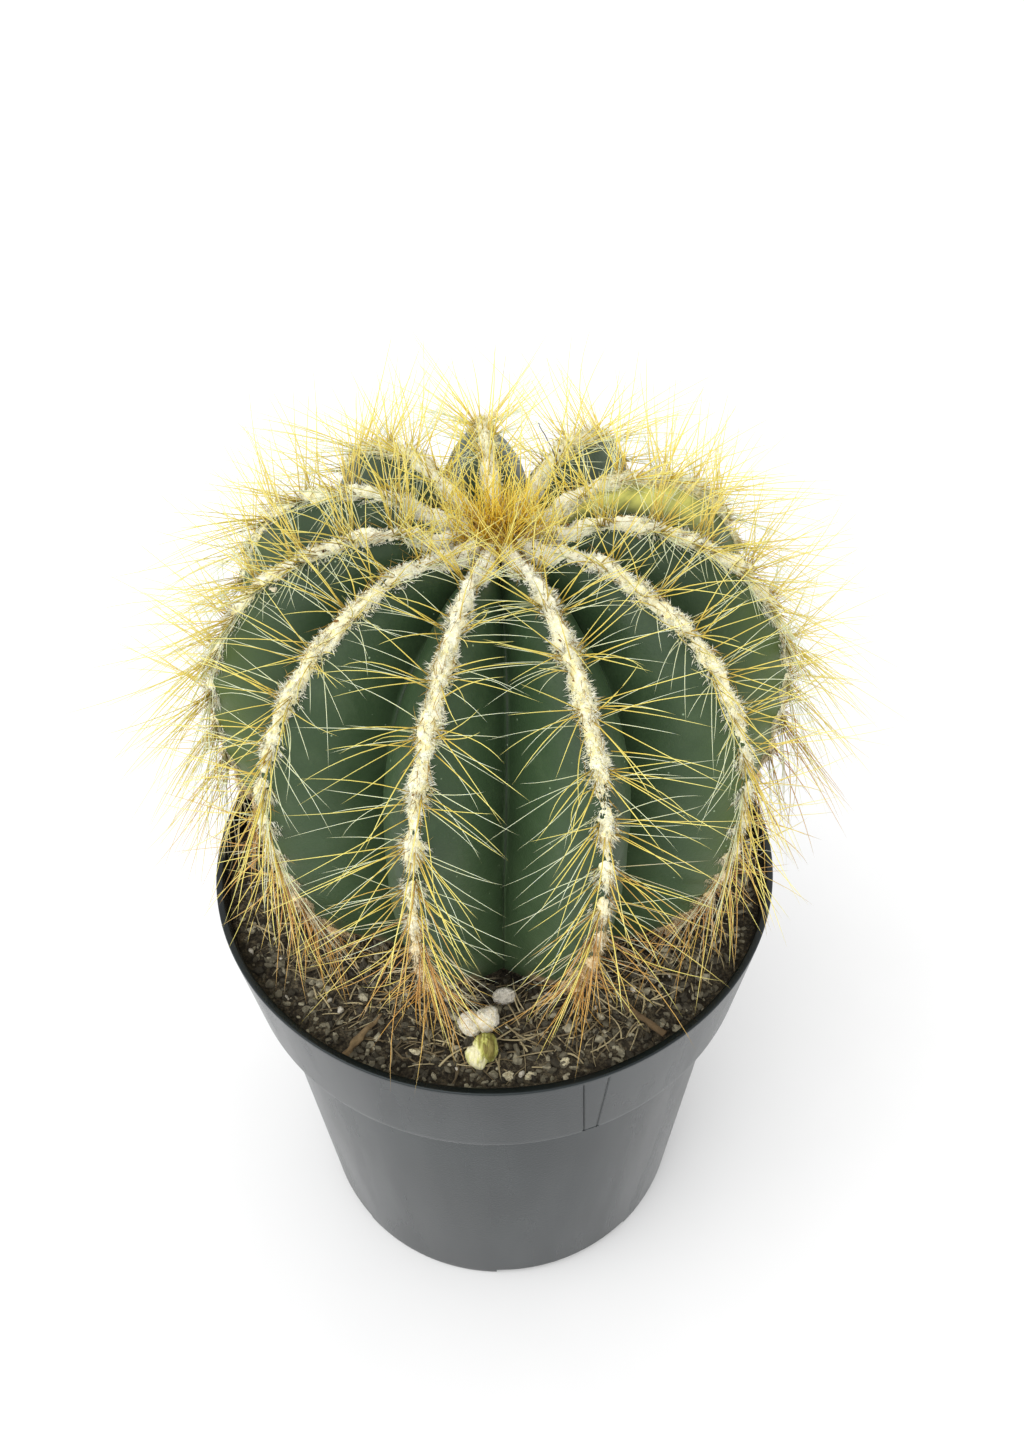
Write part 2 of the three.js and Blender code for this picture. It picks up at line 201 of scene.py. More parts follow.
def growBristles(roots, ways, bends, lengths, radii, steps, sides, tone, material=0, taper=1.5):
    # strands that leave their roots along ways, bend off and thin out to a point
    t = np.linspace(0, 1, steps + 1)
    shape = ways[:, None] * t[:, None] + bends[:, None] * t[:, None] ** 2
    line = roots[:, None] + lengths[:, None, None] * shape
    forward = unit(np.gradient(line, axis=1))
    helper = np.where(np.abs(forward[..., 2:]) < 0.9, [0.0, 0.0, 1.0], [1.0, 0.0, 0.0])
    side = unit(np.cross(forward, helper))
    other = np.cross(forward, side)
    angle = fullTurn * np.arange(sides) / sides
    rim = side[:, :-1, None] * np.cos(angle)[:, None] + other[:, :-1, None] * np.sin(angle)[:, None]
    thick = radii[:, None] * blendTo(1, tipShare, t[:-1] ** taper)
    rings = line[:, :-1, None] + rim * thick[..., None, None]
    count, each = len(roots), steps * sides + 1
    points = np.concatenate([rings.reshape(count, -1, 3), line[:, -1:]], axis=1).reshape(-1, 3)
    along = np.append(np.repeat(t[:-1], sides), 1.0)
    strandMap = np.stack([np.tile(along, count), np.repeat(tone, each)], axis=-1)
    j = np.arange(sides)
    lastRing = (steps - 1) * sides
    tip = np.stack([lastRing + j, lastRing + (j + 1) % sides, np.full(sides, steps * sides)], axis=-1)
    starts = (np.arange(count) * each)[:, None, None]
    faces = [gridFaces(steps, sides, wrap=True), tip, j[None, ::-1]]
    faces = [(f[None] + starts).reshape(-1, f.shape[1]) for f in faces]
    return {"points": points, "faces": faces, "map": strandMap, "material": material}


def roundBall(detail):
    # points and triangles of a geodesic ball of radius 1
    mesh = bpy.data.meshes.new("ball")
    form = bmesh.new()
    bmesh.ops.create_icosphere(form, subdivisions=detail, radius=1)
    form.to_mesh(mesh)
    form.free()
    points = np.array([v.co for v in mesh.vertices])
    faces = np.array([p.vertices for p in mesh.polygons])
    bpy.data.meshes.remove(mesh)
    return points, faces


# small tools for materials

def makeMaterial(name, roughness=0.5, **sockets):
    material = bpy.data.materials.new(name)
    material.use_nodes = True
    shader = material.node_tree.nodes["Principled BSDF"]
    shader.inputs["Roughness"].default_value = roughness
    for socket, value in sockets.items():
        shader.inputs[socket.replace("_", " ")].default_value = value
    return material, material.node_tree, shader


def softLight(weight, *reach):
    # light that goes in and comes out again; reach is in millimetres for red, green and blue
    return {"Subsurface_Weight": weight, "Subsurface_Scale": 1.0,
            "Subsurface_Radius": tuple(part * mm for part in reach)}


def addNode(tree, kind, inputs=None, **settings):
    node = tree.nodes.new(kind)
    for key, value in settings.items():
        setattr(node, key, value)
    for key, value in (inputs or {}).items():
        if isinstance(value, bpy.types.NodeSocket):
            tree.links.new(value, node.inputs[key])
        else:
            node.inputs[key].default_value = value
    return node


def ownSpace(tree):
    return addNode(tree, "ShaderNodeTexCoord").outputs["Object"]


def splitParts(tree, vector):
    return addNode(tree, "ShaderNodeSeparateXYZ", {0: vector}).outputs


def paintedShare(tree, name):
    return addNode(tree, "ShaderNodeAttribute", attribute_name=name).outputs["Fac"]


def noiseFactor(tree, scale, detail=3.0, roughness=0.5, stretch=None):
    # noise from 0 to 1 in the object's own space; scale counts lumps per metre
    place = ownSpace(tree)
    if stretch:
        place = addNode(tree, "ShaderNodeMapping", {"Vector": place, "Scale": stretch}).outputs[0]
    inputs = {"Vector": place, "Scale": scale, "Detail": detail, "Roughness": roughness}
    return addNode(tree, "ShaderNodeTexNoise", inputs).outputs["Fac"]


def fromRange(tree, value, low, high, to=(0.0, 1.0)):
    inputs = {"Value": value, "From Min": low, "From Max": high, "To Min": to[0], "To Max": to[1]}
    return addNode(tree, "ShaderNodeMapRange", inputs, interpolation_type="SMOOTHSTEP").outputs[0]


def patches(tree, scale, detail, roughness, low, high, to=(0.0, 1.0), stretch=None):
    # patches of noise with soft edges, none where it is under low and full where it is over high
    return fromRange(tree, noiseFactor(tree, scale, detail, roughness, stretch), low, high, to)


def rgb(code):
    # a linear colour from the usual six-figure code
    parts = [int(code[k:k + 2], 16) / 255 for k in (0, 2, 4)]
    return tuple(((c + 0.055) / 1.055) ** 2.4 if c > 0.04045 else c / 12.92 for c in parts) + (1.0,)


def mixColour(tree, factor, a, b, mode="MIX"):
    a, b = (rgb(value) if isinstance(value, str) else value for value in (a, b))
    inputs = {0: factor, 6: a, 7: b}
    return addNode(tree, "ShaderNodeMix", inputs, data_type="RGBA", blend_type=mode).outputs[2]


def calculate(tree, operation, a, b=0.5, clamp=False):
    return addNode(tree, "ShaderNodeMath", {0: a, 1: b}, operation=operation, use_clamp=clamp).outputs[0]


def tint(tree, colour, share, code, strength):
    # lays a second colour over the first one, by share times strength
    return mixColour(tree, calculate(tree, "MULTIPLY", share, strength), colour, code)


def colourRamp(tree, factor, stops):
    node = addNode(tree, "ShaderNodeValToRGB", {"Fac": factor})
    elements = node.color_ramp.elements
    while len(elements) < len(stops):
        elements.new(0.5)
    for element, (position, code) in zip(elements, stops):
        element.position, element.color = position, rgb(code)
    return node.outputs["Color"]


def partMap(tree):
    return splitParts(tree, addNode(tree, "ShaderNodeUVMap", uv_map="partMap").outputs["UV"])


def addBump(tree, shader, height, distance, strength=1.0):
    inputs = {"Height": height, "Distance": distance * mm, "Strength": strength}
    tree.links.new(addNode(tree, "ShaderNodeBump", inputs).outputs[0], shader.inputs["Normal"])


def addGrain(tree, shader, scale, detail, roughness, distance, strength=1.0):
    addBump(tree, shader, noiseFactor(tree, scale, detail, roughness), distance, strength)


def setColour(tree, shader, colour):
    tree.links.new(colour, shader.inputs["Base Color"])


# the camera, the floor and the light

camera = {
    "target": (3.54, 0, 133.07),
    "elevation": 44.53,
    "distance": 223.7,
    "roll": -0.56,
    "lens": 32.64,
    "clip": (10, 20000),
}

studio = {
    "floor": ("e3e3e3", "e0e0e0"),
    "floorReach": 3000.0,
    "worldStrength": 1.12,
    "keyFrom": (-0.46, -0.56, 0.69),
    "keySpread": 75,
    "keyStrength": 2.05,
}


def setCamera():
    data = bpy.data.cameras.new("photoCamera")
    data.lens = camera["lens"]
    data.clip_start, data.clip_end = (reach * mm for reach in camera["clip"])
    body = addObject("photoCamera", data)
    target = Vector(camera["target"]) * mm
    tilt = math.radians(camera["elevation"])
    body.location = target + Vector((0, -math.cos(tilt), math.sin(tilt))) * camera["distance"] * mm
    facing = (target - body.location).to_track_quat("-Z", "Y")
    body.rotation_mode = "QUATERNION"
    body.rotation_quaternion = facing @ Quaternion((0, 0, 1), math.radians(camera["roll"]))
    bpy.context.scene.camera = body


def addKeyLight():
    # one very soft light from the upper left
    data = bpy.data.lights.new("keyLight", "SUN")
    data.energy = studio["keyStrength"]
    data.angle = math.radians(studio["keySpread"])
    lamp = addObject("keyLight", data)
    lamp.location = studio["keyFrom"]
    lamp.rotation_mode = "QUATERNION"
    lamp.rotation_quaternion = (-Vector(studio["keyFrom"])).to_track_quat("-Z", "Y")


def setStage():
    reach = studio["floorReach"] * mm
    mesh = bpy.data.meshes.new("studioFloor")
    corners = [(-reach, -reach, 0), (reach, -reach, 0), (reach, reach, 0), (-reach, reach, 0)]
    mesh.from_pydata(corners, [], [(0, 1, 2, 3)])
    addObject("studioFloor", mesh)
    material, tree, shader = makeMaterial("paleFloor", roughness=0.75)
    setColour(tree, shader, mixColour(tree, noiseFactor(tree, 40, 2), *studio["floor"]))
    mesh.materials.append(material)
    world = bpy.data.worlds.new("studioWorld")
    world.use_nodes = True
    background = world.node_tree.nodes["Background"]
    background.inputs["Color"].default_value = (1, 1, 1, 1)
    background.inputs["Strength"].default_value = studio["worldStrength"]
    bpy.context.scene.world = world
    addKeyLight()
    bpy.context.scene.view_settings.view_transform = "Standard"


setCamera()
setStage()
print("stage: camera, floor and light are set")


# the pot

pot = {
    "height": 99.0,
    "rimRadius": 52.5,
    "rimWidth": 1.4,
    "collarHeight": 23.3,
    "collarFootRadius": 49.5,
    "shoulderRadius": 46.6,
    "baseRadius": 40.4,
    "wall": 1.3,
    "floorThickness": 1.5,
    "footHeight": 2.0,
    "footWidth": 3.2,
    "footCount": 4,
    "firstFootAzimuth": -24,
    "drainRadius": 4.0,
    "drainRingRadius": 23.0,
    "drainCount": 5,
    "roundings": {
        "footTop": 0.5, "footInside": 0.4, "base": 1.0, "underCollar": 0.9, "collarFoot": 1.3,
        "rim": 0.4, "ledge": 0.8, "ledgeInside": 0.5, "floor": 0.8,
    },
    "sides": 288,
    "arcSteps": 7,
    "gapSteps": 24,
    "holeSides": 32,
    "sharpFrom": 35,
    "wallRings": (2.6, 4.0, 20.0, 40.0, 60.0, 72.0),
    "collarRings": (78.0, 83.0, 88.0, 93.0, 98.0),
    "cutPast": 1.0,
    # how deep under the outer surface the painted shade of the inner wall and the rim's inner edge is full,
    # and the margin under the step
    "paintedShadeFrom": 0.5,
    "stepMargin": 0.1,
    # clouds, specks, streaks: the noise's scale, detail and roughness, where they begin and are full
    "colours": ("121618", "1b2022"),
    "clouds": (28, 4, 0.6, 0.35, 0.7),
    "dust": ("707475", 0.2),
    "specks": (900, 2, 0.6, 0.72, 0.8),
    # the painted shade inside the pot
    "paintedShadeInside": "0b0d0d",
    "glossTint": (0.87, 0.98, 1.0, 1.0),
    "roughness": (0.22, 0.32),
    "streaks": (60, 4, 0.6, 0.3, 0.7),
    "streakStretch": (1, 1, 0.12),
    "grain": (2600, 2, 0.5, 0.04),
}

tagScore = {
    "top": 97.4,
    "bottom": 76.9,
    "azimuthsAtTop": (16.4, 21.3),
    "azimuthsAtBottom": (18.3, 21.1),
    "width": 0.9,
    "depth": 0.22,
}

collarBottom = pot["height"] - pot["collarHeight"]
ledgeTop = collarBottom + pot["wall"]
floorTop = pot["footHeight"] + pot["floorThickness"]


def outerWallAt(z):
    return blendTo(pot["baseRadius"], pot["shoulderRadius"], z / collarBottom)


def collarAt(z):
    share = (z - collarBottom) / pot["collarHeight"]
    return blendTo(pot["collarFootRadius"], pot["rimRadius"], share)


def roundedOutline(corners):
    # each corner is (radius, height, rounding); a rounded corner becomes a short arc
    line = []
    for k, (r, z, rounding) in enumerate(corners):
        corner = np.array([r, z])
        if not rounding or k in (0, len(corners) - 1):
            line.append(corner)
            continue
        before = unit(np.array(corners[k - 1][:2]) - corner) * rounding
        after = unit(np.array(corners[k + 1][:2]) - corner) * rounding
        for t in np.linspace(0, 1, pot["arcSteps"]):
            line.append(corner + before * (1 - t) ** 2 + after * t ** 2)
    return np.array(line)


def potOutline():
    height, rimRadius, wall, soft = pot["height"], pot["rimRadius"], pot["wall"], pot["roundings"]
    footInside = pot["baseRadius"] - pot["footWidth"]
    return roundedOutline([
        (0, pot["footHeight"], 0),
        (footInside, pot["footHeight"], soft["footTop"]),
        (footInside, 0, soft["footInside"]),
        (pot["baseRadius"], 0, soft["base"]),
        *[(outerWallAt(z), z, 0) for z in pot["wallRings"]],
        (outerWallAt(collarBottom), collarBottom, soft["underCollar"]),
        (collarAt(collarBottom), collarBottom, soft["collarFoot"]),
        *[(collarAt(z), z, 0) for z in pot["collarRings"]],
        (rimRadius, height, soft["rim"]),
        (rimRadius - pot["rimWidth"], height, soft["rim"]),
        (collarAt(ledgeTop) - wall, ledgeTop, soft["ledge"]),
        (outerWallAt(ledgeTop) - wall, ledgeTop, soft["ledgeInside"]),
        (outerWallAt(floorTop) - wall, floorTop, soft["floor"]),
        (0, floorTop, 0),
    ])


def latheSolid(outline, sides):
    # an outline that starts and ends on the axis, turned into one closed body
    azimuth = fullTurn * np.arange(sides) / sides
    middle = outline[1:-1]
    rings = around(azimuth[None], middle[:, :1], middle[:, 1:])
    ends = [[0, 0, outline[0][1]], [0, 0, outline[-1][1]]]
    points = np.concatenate([rings.reshape(-1, 3), ends])
    return {"points": points, "faces": closedFaces(len(middle), sides, upwards=True)}


def prism(section, axis):
    # a closed prism from a loop of points, moved along axis
    count = len(section)
    points = list(section) + [np.asarray(p) + axis for p in section]
    faces = [tuple(range(count))[::-1], tuple(range(count, 2 * count))]
    faces += [(k, (k + 1) % count, count + (k + 1) % count, count + k) for k in range(count)]
    return points, faces


def footGaps():
    # the gaps between the feet of the base ring
    cutters, past = [], pot["cutPast"]
    share = fullTurn / pot["footCount"]
    inner, outer = pot["baseRadius"] - pot["footWidth"] - past, pot["baseRadius"] + 2 * past
    for k in range(pot["footCount"]):
        middle = math.radians(pot["firstFootAzimuth"]) + share * (k + 0.5)
        angles = np.linspace(middle - share / 4, middle + share / 4, pot["gapSteps"])
        loop = np.concatenate([around(angles, outer, -past), around(angles[::-1], inner, -past)])
        cutters.append(prism(loop, np.array([0, 0, pot["footHeight"] + past])))
    return cutters


def drainHoles():
    cutters, past = [], pot["cutPast"]
    for k in range(pot["drainCount"]):
        azimuth = (k + 0.5) * fullTurn / pot["drainCount"]
        centre = around(azimuth, pot["drainRingRadius"], -past)
        turn = fullTurn * np.arange(pot["holeSides"]) / pot["holeSides"]
        circle = centre + around(turn, pot["drainRadius"])
        cutters.append(prism(circle, np.array([0, 0, floorTop + 2 * past])))
    return cutters


def tagLines():
    # three fine grooves round the tongue for a plant tag
    cutters = []
    tops, feet = tagScore["azimuthsAtTop"], tagScore["azimuthsAtBottom"]
    ends = [(tops[0], tagScore["top"]), (feet[0], tagScore["bottom"]),
            (feet[1], tagScore["bottom"]), (tops[1], tagScore["top"])]
    half, deep = tagScore["width"] / 2, tagScore["depth"]
    for (azimuthA, zA), (azimuthB, zB) in zip(ends, ends[1:]):
        a = around(math.radians(azimuthA), collarAt(zA), zA)
        b = around(math.radians(azimuthB), collarAt(zB), zB)
        along = unit(b - a)
        out = unit(around(math.radians((azimuthA + azimuthB) / 2), 1.0))
        side = unit(np.cross(along, out))
        start = a - along * half
        section = [start + out * deep - side * half, start + out * deep + side * half, start - out * deep]
        cutters.append(prism(section, b - a + along * 2 * half))
    return cutters


def cutAway(piece, points, faces):
    mesh = bpy.data.meshes.new("cutter")
    mesh.from_pydata([tuple(np.asarray(p) * mm) for p in points], [], faces)
    cutter = addObject("cutter", mesh)
    step = piece.modifiers.new("cut", "BOOLEAN")
    step.operation, step.solver, step.object = "DIFFERENCE", "EXACT", cutter
    bpy.context.view_layer.update()
    shape = bpy.data.meshes.new_from_object(piece.evaluated_get(bpy.context.evaluated_depsgraph_get()))
    piece.modifiers.clear()
    piece.data = shape
    bpy.data.objects.remove(cutter)


def makePot():
    piece = makePiece("potShell", [latheSolid(potOutline(), pot["sides"])], [potPlastic()],
                      ["nursery_pot"])
    for points, faces in footGaps() + drainHoles() + tagLines():
        cutAway(piece, points, faces)
    piece.data.name = "potShell"
    piece.data.shade_smooth()
    piece.data.set_sharp_from_angle(angle=math.radians(pot["sharpFrom"]))
    # painted shade: points inside the outer surface, on the inner wall and the rim's inner edge, get a
    # darker colour
    spots = np.array([vertex.co for vertex in piece.data.vertices]) / mm
    z = spots[:, 2]
    full = pot["paintedShadeFrom"]
    outside = np.where(z < collarBottom - pot["stepMargin"], outerWallAt(z), collarAt(z))
    deep = outside - np.hypot(spots[:, 0], spots[:, 1])
    paint(piece, "inside", np.clip(deep / full, 0, 1) * (z > pot["footHeight"] + full))


def potPlastic():
    material, tree, shader = makeMaterial("potPlastic", Specular_IOR_Level=0.35,
                                          Specular_Tint=pot["glossTint"])
    colour = mixColour(tree, patches(tree, *pot["clouds"]), *pot["colours"])
    colour = tint(tree, colour, patches(tree, *pot["specks"]), *pot["dust"])
    # painted shade darkens the inner wall and the rim's inner edge
    colour = mixColour(tree, paintedShare(tree, "inside"), colour, pot["paintedShadeInside"])
    setColour(tree, shader, colour)
    rough = patches(tree, *pot["streaks"], to=pot["roughness"], stretch=pot["streakStretch"])
    tree.links.new(rough, shader.inputs["Roughness"])
    addGrain(tree, shader, *pot["grain"])
    return material


makePot()
print("pot: shell, feet, drain holes and tag score are made")


# the plant's skin

plant = {
    "soilBelowRim": 4.8,
    "offset": (1.6, -0.3),
    "crestLine": [
        (0, 77.3), (8, 78.1), (17.8, 81.1), (26.8, 79.4), (35.6, 74.9), (41.9, 67.4), (45.8, 57.4),
        (46.6, 45.2), (45.2, 32.8), (41.5, 20.3), (35.6, 8.8), (27.5, -0.7), (19, -9), (0, -12),
    ],
    "grooveLine": [
        (0, 77.3), (7.2, 74.8), (14.4, 74.3), (20.5, 71.4), (26.3, 67.2), (29.5, 60.9), (30.5, 53.3),
        (29.4, 45.2), (29.4, 37.1), (29.1, 27.8), (28.1, 15.9), (25.3, 3), (18.5, -7), (0, -12),
    ],
    "widestHeight": 45.2,
    "ribAzimuths": (-175, -142, -110, -79, -48, -15, 19, 52, 84, 117, 151),
    "ribLeans": (0, -2, -2, -4, -4, -3, -1, 0, 0, 0, 2),
    "leanStart": 0.435,
    "flankBulge": 0.14,
    "bulgeNearCrest": 0.25,
    "crestSoftness": 0.13,
    "rows": 180,
    "columnsPerRib": 32,
    # height and width of the lumps in the skin
    "lumps": ((0.3, 14), (0.05, 2.2)),
    # height, width and seed
    "corkRoughness": (0.25, 1.4, 9),
    "corkEdge": (0.05, 5, 21),
    "corkLower": 0.06,
    "corkAlong": (0.73, 0.79),
    "corkAcross": (0.35, 0.6),
    # the rib and the soft edges of the pale green patch
    "freshRib": 9,
    "freshAcross": ((0.03, 0.1), (0.34, 0.6)),
    "freshAlong": ((0.06, 0.1), (0.27, 0.38)),
    "normalsWithin": (0.01, 0.985),
    "seed": 3,
}

# From and To say where a colour begins and is full or ends, across the flank or down the rib
skinLook = {
    "ground": ("31422b", "3f5137"),
    "groundPatches": (55, 4, 0.6, 0.3, 0.72),
    # painted light: the side lobes, far to the left and right, are lighter and yellower
    "sides": "74863f",
    "sideLightReach": (27, 45),
    "sideLightMost": 0.5,
    "middle": ("455d3b", 0.3),
    "middleFrom": (0.1, 0.45),
    # painted shade: the upper part of each rib, near the crown, is darker
    "upper": ("283a25", 0.7),
    "upperTo": (0.2, 0.64),
    "clouds": ("4c5d42", 0.3),
    "cloudPatches": (130, 4, 0.65, 0.46, 0.68),
    # painted shade: a dark line in the middle of each groove
    "groove": ("1c2718", 0.6),
    "grooveShadeFrom": (0.96, 1.0),
    "fresh": "d8d672",
    "freshStreaks": (500, 3, 0.6, 0.35, 0.6),
    "freshStretch": (0.3, 0.3, 1),
    "freshLeast": 0.5,
    "dots": ("a9bd9a", 0.7),
    "dotsPerMetre": 680.0,
    "dotSize": (0.04, 0.14),
    "dotChosen": (0.8, 0.84),
    "cork": ("6d5238", "b39a78"),
    "corkSpots": (900, 4, 0.7),
    "roughness": (0.42, 0.85),
    "grain": (1500, 3, 0.6, 0.12, 0.6),
}

# how far from the crown each rib's first areole sits and how far apart the next ones are
areoles = {
    "firsts": (7.0, 6.2, 8.1, 6.6, 6.3, 8.4, 6.0, 6.4, 7.7, 5.8, 8.4),
    "steps": (8.0, 7.8, 8.2, 7.7, 7.6, 8.15, 8.15, 7.1, 7.9, 8.1, 7.8),
    "last": 108,
    "swelling": 0.5,
    "swellingLength": 2.4,
    "swellingAcross": 0.3,
}

soilTop = pot["height"] - plant["soilBelowRim"]
ribCount = len(plant["ribAzimuths"])
ribAzimuths = np.array(plant["ribAzimuths"], float)
ribLeans = np.array(plant["ribLeans"], float)

# the small steps over which slopes are measured: along a rib, across it and over its crest
probe = 0.004
probeAcross = 0.03
probeCrest = 0.1


def ribAzimuth(rib, u):
    turns, index = np.divmod(rib, ribCount)
    lean = ribLeans[index] * (u / plant["leanStart"] - 1)
    return np.radians(ribAzimuths[index] + lean + 360 * turns)


def skinPoint(rib, u, across):
    # across is 0 on a crest and -1 or 1 in the grooves beside it; u runs from the crown to the root
    rib, u, across = np.broadcast_arrays(rib, np.asarray(u, float), np.asarray(across, float))
    crest, groove = splineAt(plant["crestLine"], u), splineAt(plant["grooveLine"], u)
    side = np.where(across < 0, -1, 1)
    soft = plant["crestSoftness"]
    s = ((np.sqrt(across ** 2 + soft ** 2) - soft) / (math.sqrt(1 + soft ** 2) - soft))[..., None]
    crestAzimuth = ribAzimuth(rib, u)
    grooveAzimuth = (crestAzimuth + ribAzimuth(rib + side, u)) / 2
    start = around(crestAzimuth, crest[..., 0], crest[..., 1])
    flank = around(grooveAzimuth, groove[..., 0], groove[..., 1]) - start
    length = np.linalg.norm(flank, axis=-1, keepdims=True)
    along = flank / np.maximum(length, 1e-9)
    middle = (crestAzimuth + grooveAzimuth) / 2
    outward = around(middle, crest[..., 0], crest[..., 1] - plant["widestHeight"])
    outward = unit(outward - along * np.sum(outward * along, axis=-1, keepdims=True))
    swell = 4 * s * (1 - s) * (1 - plant["bulgeNearCrest"] * (2 * s - 1))
    point = start + flank * s + outward * plant["flankBulge"] * swell * length
    return point + np.array([*plant["offset"], soilTop])


def acrossAt(share):
    # the across value that lies a signed share of the way from the crest to the groove
    soft = plant["crestSoftness"]
    reach = np.abs(share) * (math.sqrt(1 + soft ** 2) - soft) + soft
    return np.sign(share) * np.sqrt(np.maximum(reach ** 2 - soft ** 2, 0))


def skinNormal(rib, u, across):
    down = skinPoint(rib, u + probe, across) - skinPoint(rib, u - probe, across)
    aside = skinPoint(rib, u, across + probeAcross) - skinPoint(rib, u, across - probeAcross)
    return unit(np.cross(down, aside))


# how far along its crest each place u lies, for every rib
crestEnd = 0.9
placesU = np.linspace(0, crestEnd, 901)
crestLengths = []
for rib in range(ribCount):
    steps = np.linalg.norm(np.diff(skinPoint(rib, placesU, 0.0), axis=0), axis=-1)
    crestLengths.append(np.concatenate([[0], np.cumsum(steps)]))


def uAtLength(rib, length):
    return np.interp(length, crestLengths[rib], placesU)


def areoleLengths(rib):
    return np.arange(areoles["firsts"][rib], areoles["last"], areoles["steps"][rib])


def crestFrame(rib, u):
    point = skinPoint(rib, u, 0.0)
    down = unit(skinPoint(rib, u + probe, 0.0) - skinPoint(rib, u - probe, 0.0))
    across = unit(skinPoint(rib, u, probeCrest) - skinPoint(rib, u, -probeCrest))
    return point, down, across, unit(np.cross(down, across))


def makeSkin():
    rows, each = plant["rows"], plant["columnsPerRib"]
    columns = ribCount * each
    column = np.arange(columns)
    rib = np.round(column / each).astype(int)
    across = (column / each - rib) * 2
    u = np.linspace(0, 1, rows + 1)[1:-1, None]
    points = skinPoint(rib, u, across)
    normals = skinNormal(rib, np.clip(u, *plant["normalsWithin"]), across)
    lift = layeredLumps(points, plant["lumps"], plant["seed"])
    onCrest = np.exp(-(across / areoles["swellingAcross"]) ** 2)
    for k in range(ribCount):
        lengthHere = np.interp(u[:, 0], placesU, crestLengths[k])
        nearest = np.min(np.abs(lengthHere[:, None] - areoleLengths(k)), axis=1)
        swelling = areoles["swelling"] * np.exp(-(nearest / areoles["swellingLength"]) ** 2)
        mine = rib % ribCount == k
        lift[:, mine] += swelling[:, None] * onCrest[mine]
    cork = corkShare(u, across, points)
    height, size, seed = plant["corkRoughness"]
    lift += cork * height * lumpiness(points, size, seed)
    points = points + normals * lift[..., None]
    ends = np.array([[*plant["offset"], soilTop + plant["crestLine"][k][1]] for k in (0, -1)])
    flat = np.concatenate([points.reshape(-1, 3), ends])
    spread = np.broadcast_to(np.abs(across), u.shape[:1] + across.shape)
    skinMap = np.stack([spread, np.broadcast_to(u, spread.shape)], axis=-1).reshape(-1, 2)
    skinMap = np.concatenate([skinMap, [[0, 0], [0, 1]]])
    part = {"points": flat, "faces": closedFaces(rows - 1, columns), "map": skinMap}
    piece = makePiece("cactusSkin", [part], [skinMaterial()], ["cactus_body"])
    paint(piece, "cork", np.append(cork.ravel(), [0, 1]))
    paint(piece, "fresh", np.append(freshShare(rib, u, across).ravel(), [0, 0]))


def corkShare(u, across, points):
    # brown corky skin on the undersides of the ribs' feet
    height, size, seed = plant["corkEdge"]
    rough = height * lumpiness(points, size, seed)
    share = ease(u + rough - plant["corkLower"] * np.abs(across), *plant["corkAlong"])
    return share * (1 - ease(np.abs(across), *plant["corkAcross"]))


def freshShare(rib, u, across):
    # the pale green patch on one flank at the back right
    near, far = plant["freshAcross"]
    top, foot = plant["freshAlong"]
    onFlank = ease(-across, *near) * (1 - ease(-across, *far))
    onRib = np.where(rib % ribCount == plant["freshRib"], onFlank, 0)
    return onRib * ease(u, *top) * (1 - ease(u, *foot))


def skinMaterial():
    material, tree, shader = makeMaterial("greenSkin", Specular_IOR_Level=0.22,
                                          **softLight(0.06, 1.2, 2.0, 0.8))
    spread, down, _ = partMap(tree)
    colour = mixColour(tree, patches(tree, *skinLook["groundPatches"]), *skinLook["ground"])
    # painted light on the side lobes, by how far a point lies to the left or right
    sideways = calculate(tree, "ABSOLUTE", splitParts(tree, ownSpace(tree))[0])
    near, far = (reach * mm for reach in skinLook["sideLightReach"])
    share = fromRange(tree, sideways, near, far, (0.0, skinLook["sideLightMost"]))
    colour = mixColour(tree, share, colour, skinLook["sides"])
    colour = tint(tree, colour, fromRange(tree, spread, *skinLook["middleFrom"]), *skinLook["middle"])
    # painted shade, darker towards the crown
    upper = calculate(tree, "SUBTRACT", 1.0, fromRange(tree, down, *skinLook["upperTo"]))
    colour = tint(tree, colour, upper, *skinLook["upper"])
    colour = tint(tree, colour, patches(tree, *skinLook["cloudPatches"]), *skinLook["clouds"])
    # painted shade in the grooves
    colour = tint(tree, colour, fromRange(tree, spread, *skinLook["grooveShadeFrom"]), *skinLook["groove"])
    streaks = patches(tree, *skinLook["freshStreaks"], to=(skinLook["freshLeast"], 1.0),
                      stretch=skinLook["freshStretch"])
    colour = tint(tree, colour, paintedShare(tree, "fresh"), skinLook["fresh"], streaks)
    colour = tint(tree, colour, paleDots(tree), *skinLook["dots"])
    cork = paintedShare(tree, "cork")
    corkColour = mixColour(tree, noiseFactor(tree, *skinLook["corkSpots"]), *skinLook["cork"])
    setColour(tree, shader, mixColour(tree, cork, colour, corkColour))
    tree.links.new(fromRange(tree, cork, 0, 1, skinLook["roughness"]), shader.inputs["Roughness"])
    addGrain(tree, shader, *skinLook["grain"])
    return material


def paleDots(tree):
    # fine round dots, one in every few cells of the skin
    inputs = {"Vector": ownSpace(tree), "Scale": skinLook["dotsPerMetre"]}
    cells = addNode(tree, "ShaderNodeTexVoronoi", inputs).outputs
    dots = calculate(tree, "SUBTRACT", 1.0, fromRange(tree, cells["Distance"], *skinLook["dotSize"]))
    chosen = addNode(tree, "ShaderNodeSeparateColor", {0: cells["Color"]}).outputs[0]
    return calculate(tree, "MULTIPLY", dots, fromRange(tree, chosen, *skinLook["dotChosen"]))


makeSkin()
print("plant: skin with eleven ribs is made")


# the felted wool along the crests

